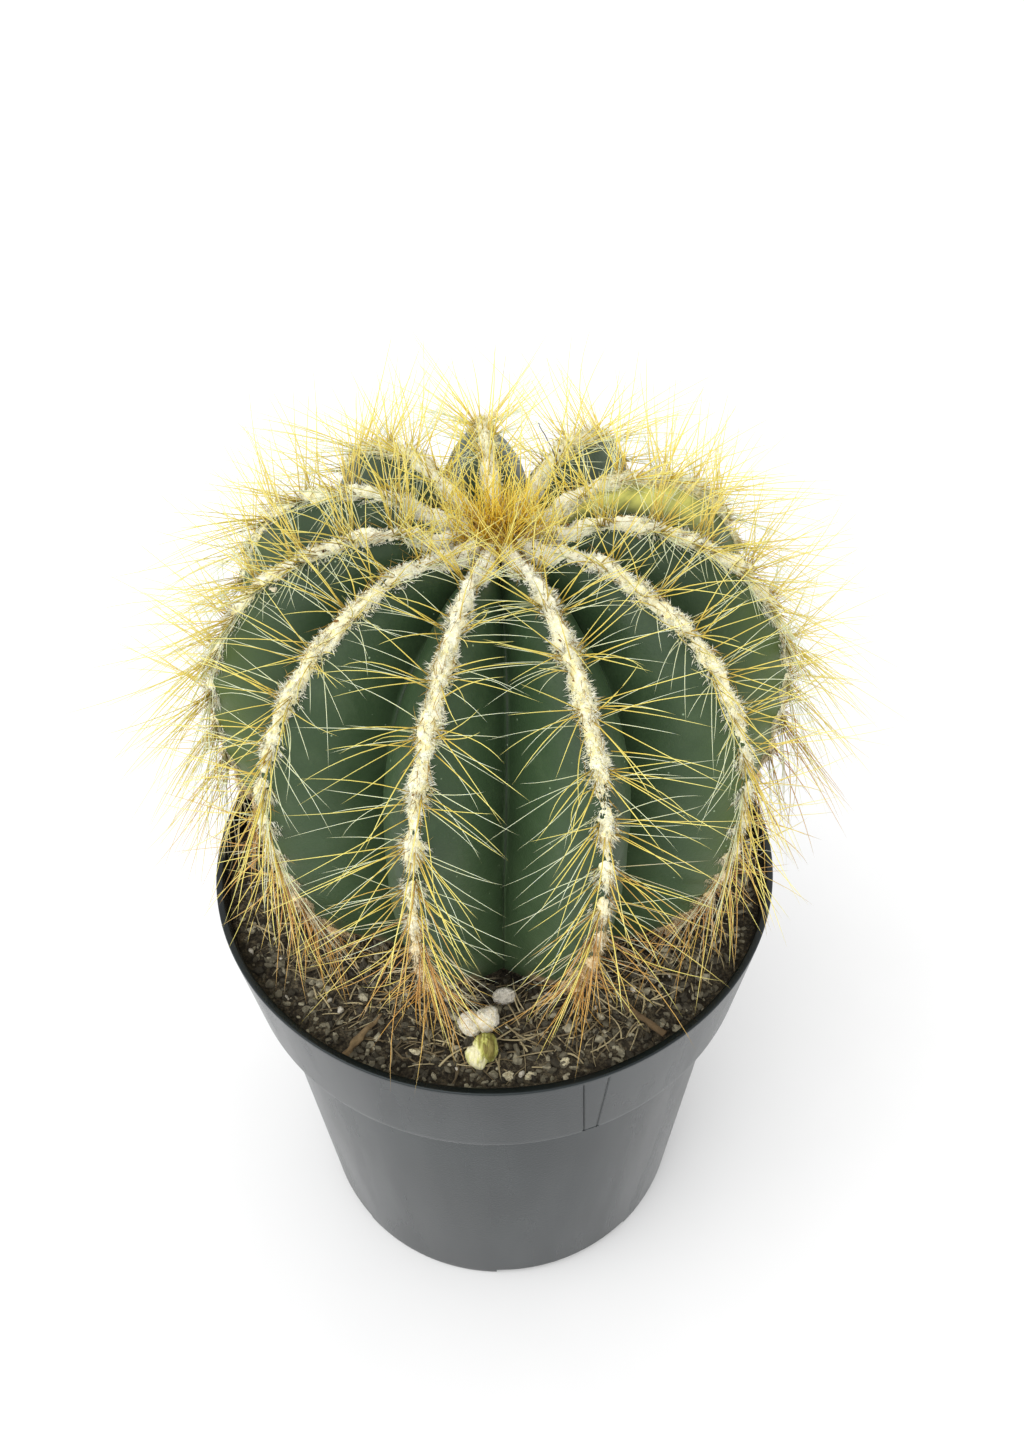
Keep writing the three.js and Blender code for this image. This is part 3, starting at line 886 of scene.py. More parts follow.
wool = {
    "start": 4.6,
    "overhang": 3.0,
    "step": 0.4,
    "sides": 18,
    "widths": (1.52, 1.42),
    "heights": (1.2, 1.6),
    "sunk": 0.2,
    "underside": 0.6,
    "widestShare": 0.5,
    "betweenAreoles": (0.7, 0.16),
    "pulseShape": 2.4,
    "thins": (34.0, 62.0),
    "above": (3.2, 2.2),
    "below": (2.4, 3.8),
    "aboveMark": (0.7, -0.6),
    "crownMore": 0.75,
    "crownTo": (7, 17),
    "crownHairs": 0.5,
    "crownHairsTo": (8, 26),
    "combed": (35, 75),
    # height and width of the lumps in the felt
    "roughness": ((0.4, 1.5), (0.45, 0.55)),
    "roughShape": 0.3,
    "hairsWithin": 0.48,
    "goldenRibs": (0, 1, 9, 10),
    "seed": 11,
}

# the second number of lift, aside, size and the locks' radius is added where an areole sits
fineHairs = {
    "perMillimetre": 44,
    "fewerAtCrown": 2,
    "lift": (0.35, 0.55),
    "combedFlat": 0.6,
    "aside": (0.15, 0.45),
    "along": (0.15, 0.75),
    "combedAlong": (0.6, 1.6),
    "unrest": 0.25,
    "bend": 0.3,
    # the shortest and the longest hair, each near the crown and where the wool is combed
    "lengths": ((0.35, 1.15), (0.5, 1.45)),
    "mostlyShort": 2,
    "size": (0.75, 0.35),
    "radius": 0.072,
    "radiusSpread": (0.7, 1.2),
}

thickLocks = {
    "perMillimetre": 18,
    "fewerAtCrown": 0,
    "lift": (0.25, 0.5),
    "combedFlat": 0,
    "aside": (0.2, 0.5),
    "along": (0.1, 0.6),
    "combedAlong": (0.4, 1.3),
    "unrest": 0.15,
    "bend": 0.15,
    "lengths": (0.5, 1.5),
    "mostlyShort": 2.2,
    "size": (0.6, 0.5),
    "radii": (0.11, 0.18),
    "radius": (0.7, 0.3),
}

amberBristles = {
    "perMillimetre": 2.6,
    "moreOnGoldenRibs": 1.7,
    "backwards": 0.3,
    "along": (0.5, 1.2),
    "lift": (0.25, 0.6),
    "unrest": 0.3,
    "bend": 0.2,
    "lengths": (1.0, 3.4),
    "radii": (0.04, 0.065),
    "within": (0.1, 0.9),
    "younger": 0.9,
    "seat": 0.25,
}

# the colours of the dark and light spots of each kind of wool, near the crown and at the foot, and the
# painted light near the crown
woolColours = {
    "creamFelt": {"top": ("f6e8a4", "fffde0"), "foot": ("c89a60", "f2dcae"), "paintedLightAtCrown": "fffff0"},
    "creamFuzz": {"top": ("fffcd2", "fffff0"), "foot": ("dab880", "f6e2b8"), "soft": 0.0,
                  "paintedLightAtCrown": "fffff4"},
    "yellowFuzz": {"top": ("fff2b4", "fffbd4"), "foot": ("dab880", "f6e2b8"), "soft": 0.0},
    "amberFuzz": {"top": ("8f6c28", "cdaa58"), "foot": ("8a6030", "c4935a")},
    # golden hairs of the back ribs, painted lighter than the amber ones for the stronger light there
    "goldenFuzzPaintedLight": {"top": ("dcb850", "f8e48c"), "foot": ("b98a48", "dcb474")},
}


def woolForm(rib, length):
    # half width and height of the wool at a place on the crest, and how near an areole is
    marks = areoleLengths(rib)
    down = np.clip(length / marks[-1], 0, 1)
    thinning = ease(length, *wool["thins"])
    fades = (wool["above"], wool["below"], wool["aboveMark"])
    above, below, shift = (blendTo(*pair, thinning)[..., None] for pair in fades)
    gaps = length[..., None] - marks + shift
    pulse = np.max(np.exp(-np.abs(gaps / np.where(gaps > 0, below, above)) ** wool["pulseShape"]), axis=-1)
    least = blendTo(*wool["betweenAreoles"], thinning)
    share = (least + (1 - least) * pulse) * (1 + wool["crownMore"] * (1 - ease(length, *wool["crownTo"])))
    return blendTo(*wool["widths"], down) * share, blendTo(*wool["heights"], down) * share, down, pulse


besideGroove = 0.999  # just short of the middle of a groove


def woolPoint(rib, length, angle):
    # angle runs round the strip: 0 and half a turn are its edges, a quarter turn its top
    width, height, down, pulse = woolForm(rib, length)
    u = uAtLength(rib, length)
    point, downWay, acrossWay, out = crestFrame(rib, u)
    flank = np.linalg.norm(skinPoint(rib, u, besideGroove) - point, axis=-1)
    widest = wool["widestShare"]
    share = np.clip(np.cos(angle) * width / np.maximum(flank, 1), -widest, widest)
    base = skinPoint(rib, u, acrossAt(share))
    top = np.sin(angle) * np.where(np.sin(angle) > 0, height, wool["underside"])
    normal = unit(out * np.sin(angle)[..., None] + acrossWay * np.cos(angle)[..., None])
    return {"point": base + out * (top - wool["sunk"])[..., None], "normal": normal, "downWay": downWay,
            "acrossWay": acrossWay, "down": down, "pulse": pulse}


def woolSpan(rib):
    return areoleLengths(rib)[-1] + wool["overhang"] - wool["start"]


def woolStrip(rib):
    lengths = np.arange(wool["start"], areoleLengths(rib)[-1] + wool["overhang"], wool["step"])
    angles = fullTurn * np.arange(wool["sides"]) / wool["sides"]
    length, angle = (a.ravel() for a in np.meshgrid(lengths, angles, indexing="ij"))
    spot = woolPoint(rib, length, angle)
    rough = layeredLumps(spot["point"], wool["roughness"], wool["seed"])
    rough = rough * np.maximum(np.sin(angle), 0) ** wool["roughShape"]
    points = spot["point"] + spot["normal"] * rough[:, None]
    down = spot["down"]
    return {"points": points, "faces": tubeFaces(len(lengths), wool["sides"], flip=True),
            "map": np.stack([np.full(len(down), 0.3), down], axis=-1)}


def crownShort(length):
    return blendTo(wool["crownHairs"], 1.0, ease(length, *wool["crownHairsTo"]))


def byPulse(pair, pulse):
    return pair[0] + pair[1] * pulse


def standingWool(rib, rng, kind):
    # where hairs stand and which way they point; they lie along the strip and splay round an areole
    length = wool["start"] + woolSpan(rib) * rng.random(int(woolSpan(rib) * kind["perMillimetre"]))
    chance = crownShort(length) ** kind["fewerAtCrown"] * woolForm(rib, length)[0] / wool["widths"][0]
    length = length[rng.random(len(length)) < chance]
    count = len(length)
    angle = math.pi * (0.5 + wool["hairsWithin"] * np.sin(fullTurn * rng.random(count)))
    spot = woolPoint(rib, length, angle)
    combed, pulse = ease(length, *wool["combed"]), spot["pulse"]
    lift = kind["lift"][0] + kind["lift"][1] * pulse * (1 - kind["combedFlat"] * combed)
    aside = spot["acrossWay"] * (np.cos(angle) * byPulse(kind["aside"], pulse))[:, None]
    along = rng.normal(*kind["along"], count) * (1 - combed)
    along = along + combed * rng.uniform(*kind["combedAlong"], count)
    way = spot["normal"] * lift[:, None] + aside + spot["downWay"] * along[:, None]
    spot["way"] = unit(way + rng.normal(0, kind["unrest"], way.shape))
    return spot, combed, byPulse(kind["size"], pulse), crownShort(length)


def woolHairs(rib, rng):
    spot, combed, share, short = standingWool(rib, rng, fineHairs)
    bend = rng.normal(0, fineHairs["bend"], spot["way"].shape)
    shortest, longest = (blendTo(a, b, combed) for a, b in zip(*fineHairs["lengths"]))
    size = blendTo(shortest, longest, rng.random(len(bend)) ** fineHairs["mostlyShort"]) * share * short
    radius = fineHairs["radius"] * rng.uniform(*fineHairs["radiusSpread"], len(bend))
    return growBristles(spot["point"], spot["way"], bend, size, radius, steps=2, sides=3,
                        tone=spot["down"], material=1, taper=1.0)


def woolLocks(rib, rng):
    # pointed locks of wool, thick at the root
    spot, _, share, short = standingWool(rib, rng, thickLocks)
    count = len(share)
    size = blendTo(*thickLocks["lengths"], rng.random(count) ** thickLocks["mostlyShort"]) * share * short
    radius = rng.uniform(*thickLocks["radii"], count) * byPulse(thickLocks["radius"], spot["pulse"])
    bend = rng.normal(0, thickLocks["bend"], (count, 3))
    return growBristles(spot["point"], spot["way"], bend, size, radius, steps=2, sides=3,
                        tone=spot["down"], material=1, taper=0.9)


def amberHairs(rib, rng):
    # short golden-brown bristles that lie on the wool
    look = amberBristles
    more = look["moreOnGoldenRibs"] if rib in wool["goldenRibs"] else 1.0
    count = int(woolSpan(rib) * look["perMillimetre"] * more)
    length = wool["start"] + woolSpan(rib) * rng.random(count)
    spot = woolPoint(rib, length, math.pi * rng.uniform(*look["within"], count))
    backwards = rng.random(count) < look["backwards"] * (1 - ease(length, *wool["combed"]))
    along = np.where(backwards, -1, 1) * rng.uniform(*look["along"], count)
    way = spot["downWay"] * along[:, None] + spot["normal"] * rng.uniform(*look["lift"], (count, 1))
    way = unit(way + rng.normal(0, look["unrest"], (count, 3)))
    bend = rng.normal(0, look["bend"], way.shape)
    size = rng.uniform(*look["lengths"], count)
    radius = rng.uniform(*look["radii"], count)
    return growBristles(spot["point"] + look["seat"] * spot["normal"], way, bend, size, radius,
                        steps=3, sides=3, tone=spot["down"] * look["younger"], material=2, taper=1.5)


woolLook = {
    "spots": (900, 4, 0.75, 0.35, 0.6),
    "footFrom": (0.6, 0.92),
    "paintedLightTo": (0.06, 0.34),
    "paintedLightMost": 0.7,
    "grain": (3500, 3, 0.7, 0.3),
}


def woolMaterial(name, top, foot, soft=0.06, paintedLightAtCrown=None):
    material, tree, shader = makeMaterial(name, roughness=0.9, Specular_IOR_Level=0.2,
                                          **softLight(soft, 0.6, 0.5, 0.3))
    _, down, _ = partMap(tree)
    spots = patches(tree, *woolLook["spots"])
    upper, lower = mixColour(tree, spots, *top), mixColour(tree, spots, *foot)
    colour = mixColour(tree, fromRange(tree, down, *woolLook["footFrom"]), upper, lower)
    # painted light: the felt and the cream fuzz are whiter near the crown
    if paintedLightAtCrown:
        white = fromRange(tree, down, *woolLook["paintedLightTo"], (woolLook["paintedLightMost"], 0.0))
        colour = mixColour(tree, white, colour, paintedLightAtCrown)
    setColour(tree, shader, colour)
    addGrain(tree, shader, *woolLook["grain"])
    return material


def makeWool():
    rng = np.random.default_rng(wool["seed"])
    felt, fuzz, yellow, amber, golden = (woolMaterial(name, **look) for name, look in woolColours.items())
    for rib in range(ribCount):
        # the back ribs take the golden fuzz, partly painted light
        second, third = (yellow, golden) if rib in wool["goldenRibs"] else (fuzz, amber)
        parts = [woolStrip(rib), woolHairs(rib, rng), woolLocks(rib, rng), amberHairs(rib, rng)]
        makePiece(f"woolCrest{rib + 1:02d}", parts, [felt, second, third],
                  [f"spine_row_{rib + 1:02d}"])


makeWool()
print("plant: wool on the crests is made")


# the spines

spines = {
    "steps": 7,
    "sides": 4,
    # kind, angle from straight across towards the foot, rise from the skin, length, radius
    "side": [
        ("pale", -15, 20, 12.5, 0.07),
        ("pale", -6, 16, 13.5, 0.075),
        ("pale", 4, 22, 14.0, 0.075),
        ("pale", 12, 18, 13.5, 0.07),
        ("pale", 22, 28, 13.0, 0.07),
        ("gold", -24, 42, 14.5, 0.095),
        ("gold", -9, 38, 16.0, 0.1),
        ("gold", 1, 44, 17.5, 0.105),
        ("gold", 11, 36, 16.5, 0.1),
        ("gold", 24, 44, 17.0, 0.095),
        ("gold", 40, 46, 16.5, 0.095),
    ],
    "middle": [
        ("gold", 62, 46, 15.5, 0.11),
        ("gold", 105, 52, 15.0, 0.11),
        ("gold", -80, 50, 12.5, 0.105),
        ("gold", -60, 62, 14.0, 0.105),
        ("gold", 84, 28, 12.5, 0.1),
    ],
    "middleCounts": [5, 3, 2, 2, 2, 3],
    "angleSpread": 7.5,
    "riseSpread": 8,
    "leastRise": 0.1,
    "lengthSpread": 0.13,
    "lengthLimit": 1.8,
    "radiusSpread": (0.78, 1.02),
    "lengthAlong": [0.66, 0.9, 1.0, 1.04, 1.02, 0.86],
    "droopAlong": [-14, -5, 2, 13, 40, 70],
    "riseAlong": [26, 6, 0, -2, -10, -20],
    # the share of its spines that an areole hasn't got
    "missingAtCrown": {"pale": 0.85, "gold": 0.6},
    "crownReach": 0.13,
    "missing": 0.1,
    "testedFrom": 0.15,
    "testedPlaces": 6,
    "liftTries": 12,
    "liftStep": 0.12,
    "aboveSoil": 1.0,
    "overRim": 1,
    "offWall": 2.2,
    "shortenTries": 5,
    "shortenTo": 0.87,
    "insideRim": 3.0,
    "lowUnder": 6.0,
    "bend": 0.16,
    "bendSpread": 0.75,
    "bendDown": 0.6,
    "bendIn": 0.3,
    "sideMore": {1: 1.3, 2: 1.7, 3: 2.4, 8: 2.3, 9: 1.7},
    "sideDownTo": 0.76,
    "sideLonger": 1.08,
    # where a spine's root sits on its cushion
    "seat": 0.25,
    "seatAcross": (1.2, 0.25),
    "seatAlong": (0.7, 1.1),
    "toneSpread": 0.25,
    "seed": 29,
}


def alongValue(name, down):
    table = spines[name]
    return np.interp(down, np.linspace(0, 1, len(table)), table)


def clearOfPot(roots, ways, bends, lengths):
    # lifts the ways of spines that would run into the soil or the pot's wall
    t = np.linspace(spines["testedFrom"], 1, spines["testedPlaces"])[:, None]
    for _ in range(spines["liftTries"]):
        line = roots[:, None] + lengths[:, None, None] * (ways[:, None] * t + bends[:, None] * t ** 2)
        radius, z = np.hypot(line[..., 0], line[..., 1]), line[..., 2]
        inSoil = z < soilTop + spines["aboveSoil"]
        overRim = z < pot["height"] + spines["overRim"]
        inWall = overRim & (radius > pot["rimRadius"] - spines["offWall"])
        bad = (inSoil | inWall).any(axis=1)
        ways[bad, 2] += spines["liftStep"]
        ways[bad] = unit(ways[bad])
    return ways


def insideRim(roots, ways, bends, lengths):
    # shortens low spines that would reach out over the pot's rim
    for _ in range(spines["shortenTries"]):
        tips = roots + lengths[:, None] * (ways + bends)
        low = tips[:, 2] < pot["height"] + spines["lowUnder"]
        far = np.hypot(tips[:, 0], tips[:, 1]) > pot["rimRadius"] - spines["insideRim"]
        lengths = np.where(low & far, lengths * spines["shortenTo"], lengths)
    return lengths


def listedSpines(rib, down, rng):
    # the spines of one areole: the same ones to both sides and some in the middle
    listed = [(side, *entry) for side in (-1, 1) for entry in spines["side"]]
    if rib in spines["sideMore"] and down < spines["sideDownTo"]:
        count = int(len(listed) * (spines["sideMore"][rib] - 1))
        listed += [listed[k] for k in rng.integers(0, len(listed), count)]
    middle = spines["middle"][:round(alongValue("middleCounts", down))]
    return listed + [(rng.choice([-1, 1]), *entry) for entry in middle]


def rowOfSpines(rib, rng):
    kinds = {"gold": [], "pale": []}
    marks = areoleLengths(rib)
    seatAcross, seatSpread = spines["seatAcross"]
    limit = spines["lengthLimit"]
    for length in marks:
        down = length / marks[-1]
        point, downWay, acrossWay, out = crestFrame(rib, uAtLength(rib, length))
        for side, kind, angle, rise, size, radius in listedSpines(rib, down, rng):
            gone = spines["missing"] if down > spines["crownReach"] else spines["missingAtCrown"][kind]
            if rng.random() < gone:
                continue
            angle = angle + alongValue("droopAlong", down) * math.cos(math.radians(angle))
            angle = math.radians(angle + rng.normal(0, spines["angleSpread"]))
            rise = math.radians(rise + alongValue("riseAlong", down) + rng.normal(0, spines["riseSpread"]))
            rise = max(rise, spines["leastRise"])
            way = (acrossWay * side * math.cos(angle) + downWay * math.sin(angle)) * math.cos(rise)
            way = way + out * math.sin(rise)
            size = size * alongValue("lengthAlong", down)
            size = size * (1 + spines["lengthSpread"] * np.clip(rng.normal(), -limit, limit))
            if rib in spines["sideMore"]:
                size = size * spines["sideLonger"]
            seat = seatAcross * math.cos(angle) * side + rng.normal(0, seatSpread)
            root = point + out * spines["seat"] + acrossWay * seat
            root = root + downWay * rng.normal(*spines["seatAlong"])
            bend = rng.normal(0, spines["bendSpread"], 3)
            bend = spines["bend"] * (bend + downWay * spines["bendDown"] - out * spines["bendIn"])
            radius = radius * rng.uniform(*spines["radiusSpread"])
            kinds[kind].append((root, way, bend, size, radius, down))
    parts = []
    for index, kind in enumerate(("gold", "pale")):
        roots, ways, bends, sizes, radii, downs = (np.array(column) for column in zip(*kinds[kind]))
        ways = clearOfPot(roots, unit(ways), bends, sizes)
        sizes = insideRim(roots, ways, bends, sizes)
        tone = blendTo(downs, rng.random(len(roots)), spines["toneSpread"])
        parts.append(growBristles(roots, ways, bends, sizes, radii, spines["steps"], spines["sides"],
                                  tone, material=index, taper=2.0))
    return parts


spineLook = {
    "stops": (0, 0.25, 0.75, 1),
    "ripeFrom": (0.3, 0.52),
    "oldFrom": (0.58, 0.76),
    "blotches": (260, 2, 0.5, 0.35, 0.65),
    "blotchDarkest": 0.88,
}


def spineMaterial(name, young, ripe, old):
    # each list of colours runs from root to tip: young near the crown, old near the foot
    material, tree, shader = makeMaterial(name, roughness=0.25, Specular_IOR_Level=0.5,
                                          **softLight(0.2, 0.8, 0.6, 0.2))
    along, tone, _ = partMap(tree)
    young, ripe, old = (colourRamp(tree, along, list(zip(spineLook["stops"], codes)))
                        for codes in (young, ripe, old))
    colour = mixColour(tree, fromRange(tree, tone, *spineLook["ripeFrom"]), young, ripe)
    colour = mixColour(tree, fromRange(tree, tone, *spineLook["oldFrom"]), colour, old)
    blotch = patches(tree, *spineLook["blotches"], to=(spineLook["blotchDarkest"], 1.0))
    grey = addNode(tree, "ShaderNodeCombineColor", {0: blotch, 1: blotch, 2: blotch}).outputs[0]
    setColour(tree, shader, mixColour(tree, 1.0, colour, grey, "MULTIPLY"))
    return material


# the colours of a spine from its root to its tip
spineColours = {
    "goldSpine": {
        "young": ("a68836", "dcc258", "f0e382", "d8ca66"),
        "ripe": ("ba993e", "e0c85a", "f2e47e", "dccb62"),
        "old": ("80582c", "b4803c", "cc9a4c", "9c7a4a"),
    },
    "paleSpine": {
        "young": ("bebc82", "dce0b0", "e8f0c6", "ced4a2"),
        "ripe": ("c6c086", "e0e4b2", "eaf0c6", "d2d69e"),
        "old": ("8d7858", "b3a07c", "cdbd98", "9c8c6c"),
    },
    # painted light: a lighter gold for the spines of the back ribs, which stand in stronger light
    "paintedLightGoldSpine": {
        "young": ("caa23a", "f4da58", "fff48c", "f6e678"),
        "ripe": ("caa23a", "f0d058", "fcec84", "f0dc70"),
        "old": ("86633a", "b28a50", "cea466", "a08256"),
    },
}

goldSpine, paleSpine, paintedLightGoldSpine = (spineMaterial(name, **parts) for name, parts in spineColours.items())


def makeSpines():
    rng = np.random.default_rng(spines["seed"])
    for rib in range(ribCount):
        # the back ribs take the lighter gold, painted light
        gold = paintedLightGoldSpine if rib in wool["goldenRibs"] else goldSpine
        makePiece(f"spineFan{rib + 1:02d}", rowOfSpines(rib, rng), [gold, paleSpine],
                  [f"spine_row_{rib + 1:02d}"])


makeSpines()
print("plant: spines along the ribs are made")


# the tuft in the middle of the crown

tuft = {
    "radius": 5.0,
    "height": 2.2,
    "padSunk": 0.2,
    # height and width of the lumps in the pad
    "padLumps": ((0.14, 0.3), (0.07, 0.1)),
    "padSeed": 5,
    "clusters": 12,
    "clusterStart": 0.3,
    "clusterReach": 1.3,
    "clusterTurn": 137.5,
    "spinesPerCluster": 17,
    "spineLength": (4.5, 13.5),
    "spineRadius": 0.1,
    "spineSpread": (0.75, 1.1),
    "spineFoot": 0.75,
    "footSpread": 0.45,
    "lean": 1.0,
    "leanShape": 1.5,
    "leastRise": 0.35,
    "unrest": 0.22,
    "bend": 0.26,
    "bendBack": 0.1,
    "hairCount": 520,
    "hairLength": (1.5, 5.5),
    "hairRadius": 0.055,
    "hairSpread": (0.7, 1.3),
    "hairFoot": 0.7,
    "hairBend": 0.2,
    "toneSpread": 0.4,
    "hairLean": 1.2,
    "hairRise": 0.9,
    "hairUnrest": 0.4,
    "felt": ("7a5a20", "b8923e"),
    "fuzz": ("d8b45c", "f4dc94"),
    "spine": ("94701c", "e8ba32", "fce468", "fcec84"),
    "seed": 41,
}


def crownBase():
    return np.array([*plant["offset"], soilTop + plant["crestLine"][0][1]])


def crownPad():
    points, faces = roundBall(detail=5)
    rough = layeredLumps(points, tuft["padLumps"], tuft["padSeed"], start=1)
    shape = points * [tuft["radius"], tuft["radius"], tuft["height"]] * rough[:, None]
    return {"points": shape + crownBase() - [0, 0, tuft["padSunk"]], "faces": [faces],
            "map": evenMap(points, 0.2)}


def crownSpines(rng):
    # the youngest areoles stand in a spiral; each carries a small sheaf that leans outwards
    cluster = np.repeat(np.arange(tuft["clusters"]), tuft["spinesPerCluster"])
    count = len(cluster)
    reach = tuft["clusterReach"] * np.sqrt(cluster + tuft["clusterStart"])
    azimuth = cluster * math.radians(tuft["clusterTurn"])
    share = reach / tuft["radius"]
    foot = around(azimuth, reach, tuft["spineFoot"] * tuft["height"] * (1 - share ** 2))
    foot = foot + rng.normal(0, tuft["footSpread"], (count, 3)) * [1, 1, 0.2]
    way = around(azimuth, tuft["lean"] * share ** tuft["leanShape"], 1.0)
    way = way + rng.normal(0, tuft["unrest"], (count, 3))
    way[:, 2] = np.maximum(way[:, 2], tuft["leastRise"])
    bend = rng.normal(0, tuft["bend"], (count, 3)) - around(azimuth, tuft["bendBack"] * share)
    size = rng.uniform(*tuft["spineLength"], count)
    radii = tuft["spineRadius"] * rng.uniform(*tuft["spineSpread"], count)
    return growBristles(crownBase() + foot, unit(way), bend, size, radii, steps=8, sides=4,
                        tone=tuft["toneSpread"] * rng.random(count), material=2, taper=1.8)


def crownHairs(rng):
    count = tuft["hairCount"]
    out, azimuth = np.sqrt(rng.random(count)), fullTurn * rng.random(count)
    foot = around(azimuth, out * tuft["radius"], tuft["hairFoot"] * tuft["height"] * (1 - out ** 2))
    way = around(azimuth, out * tuft["hairLean"], tuft["hairRise"])
    way = unit(way + rng.normal(0, tuft["hairUnrest"], (count, 3)))
    size = rng.uniform(*tuft["hairLength"], count)
    radii = tuft["hairRadius"] * rng.uniform(*tuft["hairSpread"], count)
    bend = rng.normal(0, tuft["hairBend"], way.shape)
    return growBristles(crownBase() + foot, way, bend, size, radii, steps=3, sides=3,
                        tone=tuft["toneSpread"] * rng.random(count), material=1, taper=1.8)


def makeCrown():
    rng = np.random.default_rng(tuft["seed"])
    felt = woolMaterial("crownFelt", tuft["felt"], tuft["felt"])
    fuzz = woolMaterial("crownFuzz", tuft["fuzz"], tuft["fuzz"])
    gold = spineMaterial("crownGold", tuft["spine"], tuft["spine"], tuft["spine"])
    makePiece("crownTuft", [crownPad(), crownHairs(rng), crownSpines(rng)], [felt, fuzz, gold],
              ["crown_tuft"])


makeCrown()
print("plant: crown tuft is made")


# the soil and what lies on it

soil = {
    "gap": 0.3,
    "rimGap": 0.1,
    "rings": 110,
    "ringShape": 0.8,
    "sides": 300,
    # height and width of the lumps in the bed
    "lumps": ((0.55, 4.5), (0.4, 1.9), (0.22, 0.8)),
    "lumpSeed": 61,
    "rollHeight": 0.6,
    "rollPace": (0.21, 0.19),
    "rollShift": (1, 0.5),
    "settled": 0.2,
    "openFrom": 27.0,
    "offEdge": 1.0,
    "crumbCount": 4600,
    "crumbSize": (0.2, 1.05),
    "crumbSpread": (0.6, 1.2),
    "crumbFlat": (0.4, 0.9),
    "crumbLift": 0.2,
    "crumbSeed": 71,
    "fibreCount": 1700,
    "fibreOffEdge": 5.0,
    "fibreLift": 0.25,
    "fibreRise": (-0.02, 0.22),
    "fibreBend": 0.4,
    "fibreDroop": (-0.3, -0.02),
    "fibreLength": (2.0, 9.0),
    "fibreRadius": (0.06, 0.22),
    "gritCount": 40,
    "gritSize": (0.3, 0.75),
    "gritFlat": (0.7, 1.0),
    "gritLift": 0.5,
    "gritSeed": 81,
    "gritFrom": 30,
    "seed": 53,
}

# the stops of a colour run from dark to light; damp is a colour and its strength
soilColours = {
    "bed": [(0.3, "1b1916"), (0.48, "3c362c"), (0.6, "655c4a"), (0.75, "9a8e72")],
    "bedSpots": (900, 5, 0.75),
    "damp": ("17130f", 0.5),
    "dampPatches": (90, 3, 0.6, 0.4, 0.65),
    "bedGrain": (1600, 4, 0.7, 0.5),
    "crumb": [(0.1, "2a2722"), (0.5, "4a453a"), (0.82, "787260"), (1.0, "b8b096")],
    "fibre": [(0.0, "3a3128"), (0.45, "7c6e52"), (0.95, "cabb92")],
    "grit": ("a89f8c", "d6cfbe"),
}

soilRadius = pot["rimRadius"] - pot["rimWidth"] - soil["gap"] - soil["rimGap"]


def soilRoll(x, y):
    # the slow rise and fall of the whole bed
    (paceX, paceY), (shiftX, shiftY) = soil["rollPace"], soil["rollShift"]
    return soil["rollHeight"] * np.sin(paceX * x + shiftX) * np.cos(paceY * y + shiftY)


def soilLift(x, y):
    flat = np.stack([x, y, np.zeros_like(x)], axis=-1)
    return layeredLumps(flat, soil["lumps"], soil["lumpSeed"], start=soilRoll(x, y)) - soil["settled"]


def makeSoilBed():
    share = np.linspace(0, 1, soil["rings"] + 1)[1:]
    radii = soilRadius * share ** soil["ringShape"]
    azimuth = fullTurn * np.arange(soil["sides"]) / soil["sides"]
    top = around(azimuth[None], radii[:, None], soilTop)
    top[..., 2] += soilLift(top[..., 0], top[..., 1])
    gap = soil["gap"]
    ledge, shoulder, foot = collarAt(ledgeTop), outerWallAt(ledgeTop), outerWallAt(floorTop)
    low = [(ledge - gap, ledgeTop), (shoulder, ledgeTop), (foot, floorTop)]
    below = np.array([around(azimuth, r - pot["wall"] - gap, z + gap) for r, z in low])
    rings = np.concatenate([top, below]).reshape(-1, 3)
    ends = [[0, 0, soilTop + soilLift(np.zeros(1), np.zeros(1))[0]], [0, 0, floorTop + gap]]
    points = np.concatenate([rings, ends])
    faces = closedFaces(len(radii) + len(low), soil["sides"])
    makePiece("soilBed", [{"points": points, "faces": faces}], [soilMaterial()],
              ["potting_soil"])


def soilMaterial():
    material, tree, shader = makeMaterial("dampPeat", roughness=0.95, Specular_IOR_Level=0.15)
    colour = colourRamp(tree, noiseFactor(tree, *soilColours["bedSpots"]), soilColours["bed"])
    damp = patches(tree, *soilColours["dampPatches"])
    setColour(tree, shader, tint(tree, colour, damp, *soilColours["damp"]))
    addGrain(tree, shader, *soilColours["bedGrain"])
    return material


def openSoil(rng, count, inner=soil["openFrom"], outer=soilRadius - soil["offEdge"]):
    # random places on the ring of soil that the plant leaves open
    radius = np.sqrt(rng.uniform(inner ** 2, outer ** 2, count))
    spot = around(fullTurn * rng.random(count), radius)
    spot[:, 2] = soilTop + soilLift(spot[:, 0], spot[:, 1])
    return spot


# widths are shares of a lump's length; apart keeps the noise of one lump from that of the next
lumpLook = {"widths": (0.35, 0.95), "uneven": 0.5, "unevenSize": 0.7, "closer": 1.3, "apart": 3.7}


